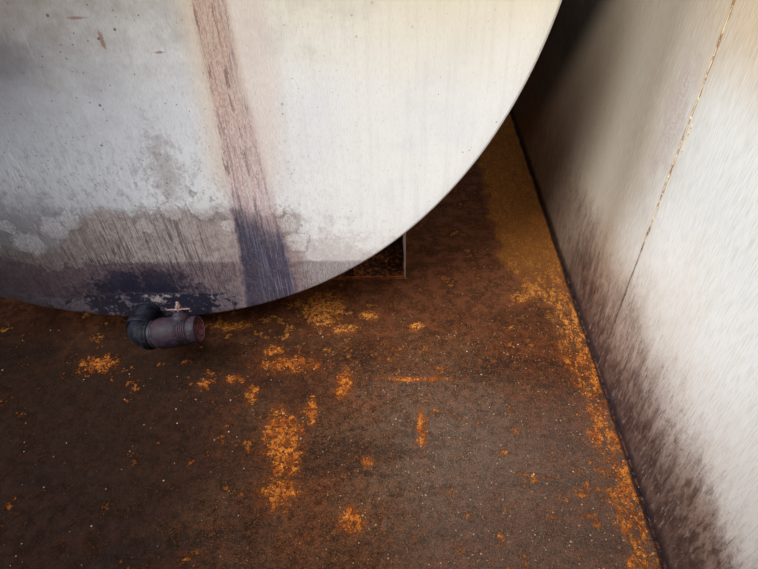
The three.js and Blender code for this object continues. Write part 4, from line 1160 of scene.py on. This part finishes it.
def ring_bead(radius, thickness, y):
    """A weld right round the tank at one place along it."""
    ring = fresh(
        bpy.ops.mesh.primitive_torus_add,
        major_segments=900, minor_segments=6, major_radius=radius, minor_radius=thickness,
        location=(0, y, TANK_AXIS), rotation=(math.pi / 2, 0, 0))
    apply_modifier(
        ring, "DISPLACE", texture=slag_clouds, strength=thickness, mid_level=0.5, texture_coords="LOCAL")
    return ring


painted_weld, r, shader, place = new_finish("painted_weld")
bead_rust = r.group(rust, {"Place": place, "Freshness": 0.5})
bare = r.fade(r.noise(place, 22.0, 6.0, 0.7), 0.54, 0.62)
r.wire(shader, {
    "Base Color": r.blend(bare, tint(206, 200, 188), bead_rust["Color"]),
    "Roughness": r.fade(bare, 0.0, 1.0, 0.5, 0.85),
    "Normal": r.bump(bead_rust["Height"], 0.0004),
})
seam_radius = TANK_RADIUS - 0.001
tank_beads = [ring_bead(seam_radius, 0.0028, y) for y in (COURSE_START, COURSE_SEAM, COURSE_END)]
for side in (-1, 1):
    x = side * TANK_RADIUS
    tank_beads.append(weld_bead((x, COURSE_START, TANK_AXIS), (x, COURSE_END, TANK_AXIS), 0.003, 0.007))
complete(join_all(tank_beads, "tank_welds"), "tank_welds", painted_weld)

# Drain: a half coupling welded to the head, an elbow screwed on it and a small ball valve, cast and
# dull with oil. The valve points a little upwards and its stem leans back towards the tank.
pipe_iron, r, shader, place = new_finish("oily_pipe_iron")
pits = r.noise(place, 340.0, 4.0, 0.65)
film = r.noise(place, 40.0, 5.0, 0.65)
iron = r.blend(r.fade(film, 0.4, 0.6), tint(9, 10, 21), tint(22, 24, 41))
iron = r.blend(r.fade(pits, 0.5, 0.62, 0.0, 0.8), iron, tint(14, 13, 19))
# Pale blue-grey flecks over the dark iron: painted highlights
iron = r.blend(r.fade(r.noise(place, 90.0, 5.0, 0.7), 0.56, 0.66, 0.0, 0.5), iron, tint(66, 64, 84))
r.wire(shader, {
    "Base Color": iron,
    "Roughness": r.fade(film, 0.35, 0.65, 0.5, 0.8),
    "Normal": r.bump(pits, 0.0007),
})
shader.inputs["Specular IOR Level"].default_value = 0.25

nozzle_low, nozzle_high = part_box("drain_nozzle")
DRAIN_X = (nozzle_low.x + nozzle_high.x) / 2
DRAIN_Z = (nozzle_low.z + nozzle_high.z) / 2
BORE = 0.026
LEG = 0.055
NOZZLE = HEAD_Y - nozzle_low.y
towards_camera = Matrix.Rotation(math.pi / 2, 4, "X")
nozzle_place = Matrix.Translation((DRAIN_X, HEAD_Y, DRAIN_Z)) @ towards_camera
coupling = lathed(
    [(BORE, 0), (0.0345, 0), (0.036, 0.0015), (0.036, NOZZLE - 0.005), (0.0345, NOZZLE - 0.002),
     (0.033, NOZZLE), (BORE + 0.002, NOZZLE), (BORE, NOZZLE - 0.002), (BORE, 0)],
    64, nozzle_place,
)
nozzle_weld = fresh(
    bpy.ops.mesh.primitive_torus_add,
    major_segments=120, minor_segments=10, major_radius=0.037, minor_radius=0.006,
    location=(DRAIN_X, HEAD_Y, DRAIN_Z), rotation=(math.pi / 2, 0, 0))
apply_modifier(nozzle_weld, "DISPLACE", texture=slag_clouds, strength=0.004, texture_coords="LOCAL")
coupling = join_all([coupling, nozzle_weld], "drain_coupling")
complete(coupling, "drain_coupling", pipe_iron)
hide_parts("drain_nozzle")

stem_axis = Vector(frame["joints"][0]["axis"])
pitch = math.asin(-stem_axis.x / math.sqrt(1 - stem_axis.y ** 2))
lean = math.asin(stem_axis.y)
drain_place = Matrix.Translation((DRAIN_X, nozzle_low.y - LEG, DRAIN_Z)) @ Matrix.Rotation(-pitch, 4, "Y")
ELBOW_RADIUS = 0.041
BEND = 0.0465
elbow = fresh(
    bpy.ops.mesh.primitive_circle_add,
    vertices=48, radius=ELBOW_RADIUS, fill_type="NOTHING", location=(0, LEG, 0), rotation=(math.pi / 2, 0, 0))
bpy.ops.object.mode_set(mode="EDIT")
bpy.ops.mesh.primitive_circle_add(
    vertices=48, radius=BORE, fill_type="NOTHING", location=(0, LEG, 0), rotation=(math.pi / 2, 0, 0))
bpy.ops.mesh.select_all(action="SELECT")
bpy.ops.mesh.bridge_edge_loops()
bpy.ops.mesh.select_all(action="SELECT")
bpy.ops.mesh.extrude_region_move(TRANSFORM_OT_translate={"value": (0, BEND - LEG, 0)})
bpy.ops.mesh.spin(steps=16, angle=-math.pi / 2, center=(BEND, BEND, 0), axis=(0, 0, 1))
bpy.ops.mesh.extrude_region_move(TRANSFORM_OT_translate={"value": (LEG - BEND, 0, 0)})
bpy.ops.object.mode_set(mode="OBJECT")
BAND = [(0.038, 0), (0.0455, 0), (0.0472, 0.002), (0.048, 0.006), (0.048, 0.0215), (0.0465, 0.024)]
BAND += [(0.038, 0.024), (0.038, 0)]
inlet_band = lathed(BAND, 64, Matrix.Translation((0, LEG - 0.024, 0)) @ ALONG_TANK)
for i in range(4):
    groove = 0.0085 + i * 0.0032
    BAND[4 + i * 3:4 + i * 3] = [(0.048, groove - 0.0009), (0.0468, groove), (0.048, groove + 0.0009)]
ACROSS_TANK = Matrix.Rotation(math.pi / 2, 4, "Y")
outlet_band = lathed(BAND, 64, Matrix.Translation((LEG - 0.024, 0, 0)) @ ACROSS_TANK)
elbow = join_all([elbow, inlet_band, outlet_band], "screwed_elbow")
elbow.matrix_world = drain_place
complete(elbow, "screwed_elbow", pipe_iron)
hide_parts("drain_elbow")

valve_iron, r, shader, place = new_finish("purple_brown_valve")
pits = r.noise(place, 300.0, 4.0, 0.65)
film = r.noise(place, 36.0, 5.0, 0.65)
iron = r.blend(r.fade(film, 0.4, 0.6), tint(34, 31, 44), tint(60, 40, 51))
iron = r.blend(r.fade(pits, 0.5, 0.62, 0.0, 0.8), iron, tint(24, 17, 24))
iron = r.blend(r.fade(r.noise(place, 130.0, 5.0, 0.7), 0.56, 0.66, 0.0, 0.4), iron, tint(112, 94, 104))
r.wire(shader, {
    "Base Color": iron,
    "Roughness": r.fade(film, 0.35, 0.65, 0.5, 0.8),
    "Normal": r.bump(pits, 0.0006),
})
shader.inputs["Specular IOR Level"].default_value = 0.3
STEM_PLACE = 0.107
BONNET_TOP = 0.066
MOUTH = 0.037
body_line = [(BORE, 0.0005), (0.043, 0.0005), (0.0448, 0.002), (0.045, 0.011), (0.0435, 0.0125)]
body_line += [(0.0435, 0.015), (0.047, 0.018), (0.049, 0.026), (0.05, 0.04), (0.05, 0.072)]
body_line += [(0.0492, 0.088), (0.0465, 0.1)]
for i in range(4):
    ring = 0.104 + i * 0.0065
    body_line += [(0.0432, ring), (0.0432, ring + 0.0015), (0.0455, ring + 0.0028), (0.0455, ring + 0.0048)]
body_line += [(0.042, 0.131), (0.042, 0.1335), (0.0435, 0.135), (0.044, 0.137), (0.044, 0.1565)]
body_line += [(0.0428, 0.1597), (0.0385, 0.1597), (MOUTH, 0.158), (MOUTH, 0.106), (BORE, 0.103)]
body_line += [(BORE, 0.0005)]
body = lathed(body_line, 72, ACROSS_TANK)
bonnet_line = [(0, 0.034), (0.031, 0.034), (0.031, 0.044), (0.0295, 0.05), (0.025, 0.0555)]
bonnet_line += [(0.0205, 0.0585), (0.0182, 0.0625), (0.018, 0.065), (0.017, BONNET_TOP), (0, BONNET_TOP)]
bonnet = lathed(bonnet_line, 48, Matrix.Translation((STEM_PLACE, 0, 0)))
valve_place = drain_place @ Matrix.Translation((LEG, 0, 0)) @ Matrix.Rotation(-lean, 4, "X")
valve = join_all([body, bonnet], "ball_valve_body")
valve.matrix_world = valve_place
complete(valve, "ball_valve_body", valve_iron)
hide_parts("drain_valve_body")
# Painted light: the bore's inside, which lies in shade, is painted a paler red-brown than the iron
mouth_painted_light, r, shader, place = new_finish("valve_mouth_painted_light")
r.wire(shader, {
    "Base Color": r.blend(
        r.fade(r.noise(place, 110.0, 5.0, 0.7), 0.4, 0.6), tint(96, 52, 60), tint(172, 112, 116)),
    "Roughness": r.fade(r.noise(place, 300.0), 0.3, 0.7, 0.55, 0.85),
})
valve.data.materials.append(mouth_painted_light)
from_valve = valve_place.inverted()
for face in valve.data.polygons:
    spot = from_valve @ face.center
    if spot.x > 0.104 and math.hypot(spot.y, spot.z) < MOUTH + 0.0012:
        face.material_index = 1

handle_steel, r, shader, place = new_finish("worn_handle_steel")
scuffs = r.noise(place, 160.0, 4.0, 0.6)
r.wire(shader, {
    "Base Color": r.blend(r.fade(scuffs, 0.4, 0.62), tint(104, 80, 82), tint(186, 158, 152)),
    "Roughness": r.fade(scuffs, 0.3, 0.7, 0.4, 0.7),
    "Normal": r.bump(scuffs, 0.0003),
})
shader.inputs["Metallic"].default_value = 0.4
HANDLE_HALF = 0.046
LEVER_TOP = 0.008
lever = fresh(
    bpy.ops.mesh.primitive_cube_add,
    size=1, location=(0, 0, 0.0065), scale=(2 * HANDLE_HALF, 0.016, 0.003))
bpy.ops.object.mode_set(mode="EDIT")
for cut in (-0.012, 0.012, HANDLE_HALF - 0.003):
    bpy.ops.mesh.select_all(action="SELECT")
    bpy.ops.mesh.bisect(plane_co=(cut, 0, 0), plane_no=(1, 0, 0))
bpy.ops.object.mode_set(mode="OBJECT")
for vertex in lever.data.vertices:
    vertex.select = abs(vertex.co.x) > HANDLE_HALF - 0.004
bpy.ops.object.mode_set(mode="EDIT")
bpy.ops.transform.resize(value=(1, 0.45, 1))
bpy.ops.object.mode_set(mode="OBJECT")
for face in lever.data.polygons:
    face.select = face.center.x > HANDLE_HALF - 0.003 and face.normal.z < -0.9
bpy.ops.object.mode_set(mode="EDIT")
bpy.ops.mesh.select_mode(type="FACE")
bpy.ops.mesh.extrude_region_move(TRANSFORM_OT_translate={"value": (0, 0, -0.009)})
bpy.ops.mesh.select_mode(type="VERT")
bpy.ops.object.mode_set(mode="OBJECT")
apply_modifier(lever, "BEVEL", width=0.0008, segments=2, limit_method="ANGLE")
stem_line = [(0, 0.0004), (0.0068, 0.0004), (0.0068, LEVER_TOP + 0.011), (0.0058, LEVER_TOP + 0.0115)]
stem_line += [(0.0058, 0.0285), (0.0045, 0.031), (0, 0.031)]
stem = lathed(stem_line, 24)
nut = fresh(
    bpy.ops.mesh.primitive_cylinder_add,
    vertices=6, radius=0.0108, depth=0.0105, location=(0, 0, LEVER_TOP + 0.0055))
apply_modifier(nut, "BEVEL", width=0.0009, segments=2, limit_method="ANGLE")
handle = join_all([lever, stem, nut], "valve_lever")
handle_turn = Matrix.Rotation(math.radians(-15), 4, "Z")
handle.matrix_world = valve_place @ Matrix.Translation((STEM_PLACE, 0, BONNET_TOP)) @ handle_turn
complete(handle, "valve_lever", handle_steel, body="valve_handle")
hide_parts("drain_valve_handle")

# Manway: a rolled neck through the crown, a ring flange and a flat cover drawn down on a gasket by
# hexagon bolts, all brushed white with the tank, with rust round the bolts.
cover_low, cover_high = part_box("manway_cover")
flange_low, flange_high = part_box("manway_flange")
manway_y = (cover_low.y + cover_high.y) / 2
manway_place = Matrix.Translation((0, manway_y, 0))
FLANGE_RADIUS = (flange_high.y - flange_low.y) / 2
NECK_RADIUS = 0.305
THROAT = NECK_RADIUS - SHELL_PLATE
neck_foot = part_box("manway_neck")[0].z
WORN_EDGE = 0.002
rounded = FLANGE_RADIUS - WORN_EDGE
neck_line = [(THROAT, neck_foot), (NECK_RADIUS, neck_foot), (NECK_RADIUS, flange_low.z - 0.006)]
neck_line += [(NECK_RADIUS + 0.006, flange_low.z), (rounded, flange_low.z)]
neck_line += [(FLANGE_RADIUS, flange_low.z + WORN_EDGE), (FLANGE_RADIUS, flange_high.z - WORN_EDGE)]
neck_line += [(rounded, flange_high.z), (THROAT, flange_high.z), (THROAT, neck_foot)]
neck = lathed(neck_line, 160, manway_place)
complete(neck, "manway_neck_and_flange", tank_paint, smooth=30)
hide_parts("manway_neck", "manway_flange")
cover_foot = cover_low.z + 0.0015
cover_line = [(0, cover_foot), (rounded, cover_foot), (FLANGE_RADIUS, cover_low.z + 0.0035)]
cover_line += [(FLANGE_RADIUS, cover_high.z - WORN_EDGE), (rounded, cover_high.z), (0.18, cover_high.z)]
cover_line += [(0, cover_high.z)]
cover = lathed(cover_line, 160, manway_place)
complete(cover, "manway_bolted_cover", tank_paint, smooth=30)
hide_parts("manway_cover")

gasket_rubber, r, shader, place = new_finish("gasket_rubber")
r.wire(shader, {
    "Base Color": r.blend(r.noise(place, 60.0), tint(22, 22, 22), tint(52, 48, 44)),
    "Roughness": r.fade(r.noise(place, 200.0), 0.3, 0.7, 0.7, 0.95),
})
gasket_line = [(THROAT + 0.002, cover_low.z - 0.0005), (FLANGE_RADIUS - 0.004, cover_low.z - 0.0005)]
gasket_line += [(FLANGE_RADIUS - 0.003, cover_low.z + 0.001), (FLANGE_RADIUS - 0.004, cover_low.z + 0.0025)]
gasket_line += [(THROAT + 0.002, cover_low.z + 0.0025), (THROAT + 0.002, cover_low.z - 0.0005)]
complete(lathed(gasket_line, 160, manway_place), "manway_gasket", gasket_rubber)

bolt_steel, r, shader, place = new_finish("rusty_bolt")
bolt_rust = r.group(rust, {"Place": place, "Freshness": 0.4})
r.wire(shader, {
    "Base Color": bolt_rust["Color"],
    "Roughness": bolt_rust["Roughness"],
    "Normal": r.bump(bolt_rust["Height"], 0.0003),
})
shader.inputs["Metallic"].default_value = 0.3
BOLTS = 24
BOLT_CIRCLE = 0.333


def hexagon(radius, low, high, x, y):
    part = fresh(
        bpy.ops.mesh.primitive_cylinder_add,
        vertices=6, radius=radius, depth=high - low, location=(x, y, (low + high) / 2))
    apply_modifier(part, "BEVEL", width=0.0012, segments=2, limit_method="ANGLE")
    return part


bolt_place = Matrix.Translation((BOLT_CIRCLE, 0, 0))
HEX = 0.0125
bolt_head = hexagon(HEX, cover_high.z + 0.0015, cover_high.z + 0.011, BOLT_CIRCLE, 0)
washer_line = [(0, cover_high.z), (0.0155, cover_high.z), (0.0155, cover_high.z + 0.002)]
washer_line += [(0, cover_high.z + 0.002)]
washer = lathed(washer_line, 20, bolt_place)
bolt_nut = hexagon(HEX, flange_low.z - HEX, flange_low.z, BOLT_CIRCLE, 0)
shank_line = [(0, flange_low.z - 0.024), (0.0055, flange_low.z - 0.024), (0.0065, flange_low.z - 0.022)]
shank_line += [(0.0065, cover_high.z), (0, cover_high.z)]
shank = lathed(shank_line, 16, bolt_place)
bolt = join_all([bolt_head, washer, bolt_nut, shank], "manway_bolt")
bolts = [bolt]
for i in range(1, BOLTS):
    copy = bolt.copy()
    copy.data = bolt.data.copy()
    scene.collection.objects.link(copy)
    copy.matrix_world = Matrix.Rotation(i * math.tau / BOLTS, 4, "Z")
    bolts.append(copy)
ring_of_bolts = join_all(bolts, "manway_bolts")
ring_of_bolts.matrix_world = manway_place
complete(ring_of_bolts, "manway_bolts", bolt_steel, smooth=30)

# Crown fittings: a fill pipe with a ribbed screw cap, a vent with a mushroom hood, an emergency vent
# with a lift-off lid, two lifting lugs, and plugged couplings on the front head and the front wall.
TANK_TOP = TANK_AXIS + TANK_RADIUS


def fitting(node, line, name, steps=64):
    """A round fitting on the crown, lathed in the node's place from its line of radius and height."""
    low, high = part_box(node)
    where = Matrix.Translation(((low.x + high.x) / 2, (low.y + high.y) / 2, TANK_TOP))
    piece = complete(lathed(line, steps, where), name, frame_paint)
    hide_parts(node)


def dome(line, radius, foot, rise):
    """Rounds a line off from its radius up to the axis, in seven steps."""
    for i in range(1, 8):
        bend = i / 7 * math.pi / 2
        line.append((radius * math.cos(bend), foot + rise * math.sin(bend)))
    line[-1] = (0, foot + rise)


PIPE_FOOT = -0.009
fill_line = [(0, PIPE_FOOT), (0.045, PIPE_FOOT), (0.045, 0.085), (0.049, 0.087), (0.049, 0.104)]
fill_line += [(0.045, 0.106), (0.045, 0.11), (0.0545, 0.111), (0.056, 0.113)]
for i in range(5):
    fill_line += [(0.056, 0.115 + i * 0.006), (0.0545, 0.1165 + i * 0.006), (0.0545, 0.1195 + i * 0.006)]
fill_line += [(0.056, 0.1455), (0.0545, 0.149), (0.05, 0.15), (0, 0.15)]
fitting("fill_pipe", fill_line, "fill_pipe_and_cap")
vent_line = [(0, PIPE_FOOT), (0.03, PIPE_FOOT), (0.03, 0.13), (0.034, 0.132), (0.034, 0.152)]
vent_line += [(0.055, 0.152), (0.055, 0.15), (0.06, 0.15), (0.062, 0.152), (0.062, 0.174)]
dome(vent_line, 0.062, 0.174, 0.031)
fitting("vent_pipe", vent_line, "vent_pipe_and_hood")
lid_line = [(0, PIPE_FOOT), (0.084, PIPE_FOOT), (0.084, 0.07), (0.1, 0.073), (0.1, 0.082), (0.09, 0.084)]
lid_line += [(0.09, 0.092), (0.12, 0.09), (0.124, 0.091), (0.125, 0.094), (0.125, 0.129), (0.12, 0.132)]
dome(lid_line, 0.12, 0.132, 0.033)
fitting("emergency_vent", lid_line, "emergency_vent_and_lid", 96)
for end in ("front", "rear"):
    softened("lifting_lug_" + end, end + "_lug", tank_paint, 0.003)


def plugged(node, radius, reach, name):
    """A half coupling that points forwards, closed with a square-headed plug."""
    low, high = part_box(node)
    where = Matrix.Translation(((low.x + high.x) / 2, high.y, (low.z + high.z) / 2)) @ towards_camera
    collar = reach * 0.7
    line = [(0, 0), (radius - 0.001, 0), (radius, 0.001), (radius, collar - 0.003), (radius - 0.003, collar)]
    line += [(radius * 0.62, collar), (radius * 0.6, collar + 0.002), (0, collar + 0.002)]
    collar_piece = lathed(line, 48, where)
    bpy.ops.object.select_all(action="DESELECT")
    bpy.ops.mesh.primitive_cube_add(size=1, scale=(radius * 0.62, radius * 0.62, reach * 0.3))
    square = bpy.context.object
    turned = Matrix.Translation((0, 0, reach * 0.85)) @ Matrix.Rotation(0.3, 4, "Z")
    square.matrix_world = where @ turned @ square.matrix_world
    bpy.ops.object.transform_apply(location=True, rotation=True, scale=True)
    apply_modifier(square, "BEVEL", width=0.002, segments=2, limit_method="ANGLE")
    piece = complete(join_all([collar_piece, square], name), name, pipe_iron)
    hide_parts(node)


plugged("head_coupling", 0.038, 0.064, "head_coupling_and_plug")
plugged("dike_drain_coupling", 0.030, 0.048, "wall_coupling_and_plug")
